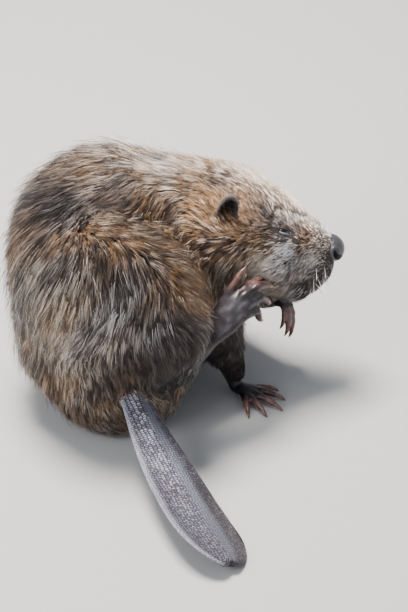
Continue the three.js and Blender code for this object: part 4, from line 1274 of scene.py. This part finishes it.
# Hair of the rump lies over the root of the tail and fades out along it.
FRINGE = 2600
FRINGE_REACH = 9  # how far from the skin its roots go
FRINGE_ABOVE = 30
FRINGE_LENGTH = 18
gap = np.array([skin_tree.find_nearest(p)[3] for p in tail_points.tolist()])
edge_of_coat = (gap < FRINGE_REACH) & (tail_share > 0) & (tail_points[:, 2] > FRINGE_ABOVE)
spots = rng.choice(np.flatnonzero(edge_of_coat), FRINGE)
roots = tail_points[spots] + rng.normal(size=(FRINGE, 3)) * 0.8
sweep = unit(tail_ways[spots] + 0.25 * rng.normal(size=(FRINGE, 3)))
fade = np.clip(1.2 - gap[spots] / FRINGE_REACH, 0.25, 1)
size = (FRINGE_LENGTH * rng.uniform(0.5, 1.1, FRINGE) * fade)[:, None]
rise = tail_normals[spots] * rng.uniform(1.0, 3.6, FRINGE)[:, None]
lines = np.stack([roots, roots + 0.5 * size * sweep + rise, roots + size * sweep + 0.8 * rise], 1)
warmth = np.clip(rng.normal(0.75, 0.15, FRINGE), 0, 1)
traits = np.stack([warmth, np.clip(rng.normal(0.4, 0.35, FRINGE), 0, 1), rng.random(FRINGE)], 1)
widths = rng.uniform(0.4, 0.9, FRINGE)
locks_mesh("tail_fringe", lines, tail_normals[spots], widths, traits, unrolled(roots))

# Stiff pale whiskers sweep out and down from the sides of the muzzle. Where they grow and the way
# they point are drawn from ranges forward, sideways and up in the head's frame.
WHISKERS = 15  # on each side
WHISKER_WIDTH = 0.45
WHISKER_ROOTS = ((100, 122), (20, 24), (-24, 2))
WHISKER_WAYS = ((0.1, 0.9), (0.6, 1.0), (-0.9, 0.1))
WHISKER_DROOP = -0.16 * UP - 0.12 * HEAD_AXES[0]
WHISKER_JOINTS = np.linspace(0, 1, 8)
PALE_HAIR = (0.5, 1.0, 0.0)
for side, name in ((-1, "right"), (1, "left")):
    place = np.stack([rng.uniform(low, high, WHISKERS) for low, high in WHISKER_ROOTS], 1)
    roots, out = on_skin(from_head(place * (1, side, 1)))
    sweep = np.stack([rng.uniform(low, high, WHISKERS) for low, high in WHISKER_WAYS], 1)
    sweep = unit(way_from_head(sweep * (1, side, 1)))
    size = rng.uniform(24, 44, WHISKERS)[:, None]
    bends = [far * sweep + far**2 * WHISKER_DROOP for far in WHISKER_JOINTS]
    lines = np.stack([roots + size * bend for bend in bends], 1)
    widths, traits = np.full(WHISKERS, WHISKER_WIDTH), np.tile(PALE_HAIR, (WHISKERS, 1))
    locks_mesh(f"{name}_whiskers", lines, out, widths, traits, unrolled(roots))

# Short dark down covers the ears, most of it along the rim.
EAR_DOWN = 1500  # hairs on each
DOWN_WIDTH = 0.42
for ear, rim, name in zip(ears, ear_rims, ("right", "left")):
    shell, outward = points_of(ear), normals_of(ear)
    spots = rng.choice(len(shell), EAR_DOWN, p=rim**2 / (rim**2).sum())
    roots = shell[spots] + 0.5 * rng.normal(size=(EAR_DOWN, 3))
    sweep = unit(shell[spots] - shell.mean(0)) + 0.8 * outward[spots] + 0.3 * rng.normal(size=(EAR_DOWN, 3))
    size = rng.uniform(1.6, 3.6, EAR_DOWN)[:, None]
    lines = np.stack([roots - 0.4 * outward[spots], roots + size * unit(sweep)], 1)
    traits = rng.uniform((0.2, 0, 0.3), (0.75, 0.2, 1), (EAR_DOWN, 3))
    widths = np.full(EAR_DOWN, DOWN_WIDTH)
    locks_mesh(f"{name}_ear_down", lines, outward[spots], widths, traits, unrolled(roots))


# ---------------------------------------------------------------- hide
# The furred skin and the bare parts become one piece, which takes the place of all the flesh.
HIDE_BROWN = (0.05, 0.036, 0.028, 1)
skin_finish = Finish("hide", Roughness=0.9, Specular_IOR_Level=0.15)
skin_finish.feed(Base_Color=HIDE_BROWN)
skin.data.materials.append(skin_finish.material)
hide = joined([skin, tail, nose, *ears, *lids, *paws], "skin")
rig.ride(hide, "root")
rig.slot(hide, "bare_skin")
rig.replaces(hide, *FLESH)

boxes = {"cad": cad_box, "visual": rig.bounds()}
with open("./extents.json", "w") as out_file:
    json.dump({name: [list(corner) for corner in box] for name, box in boxes.items()}, out_file)
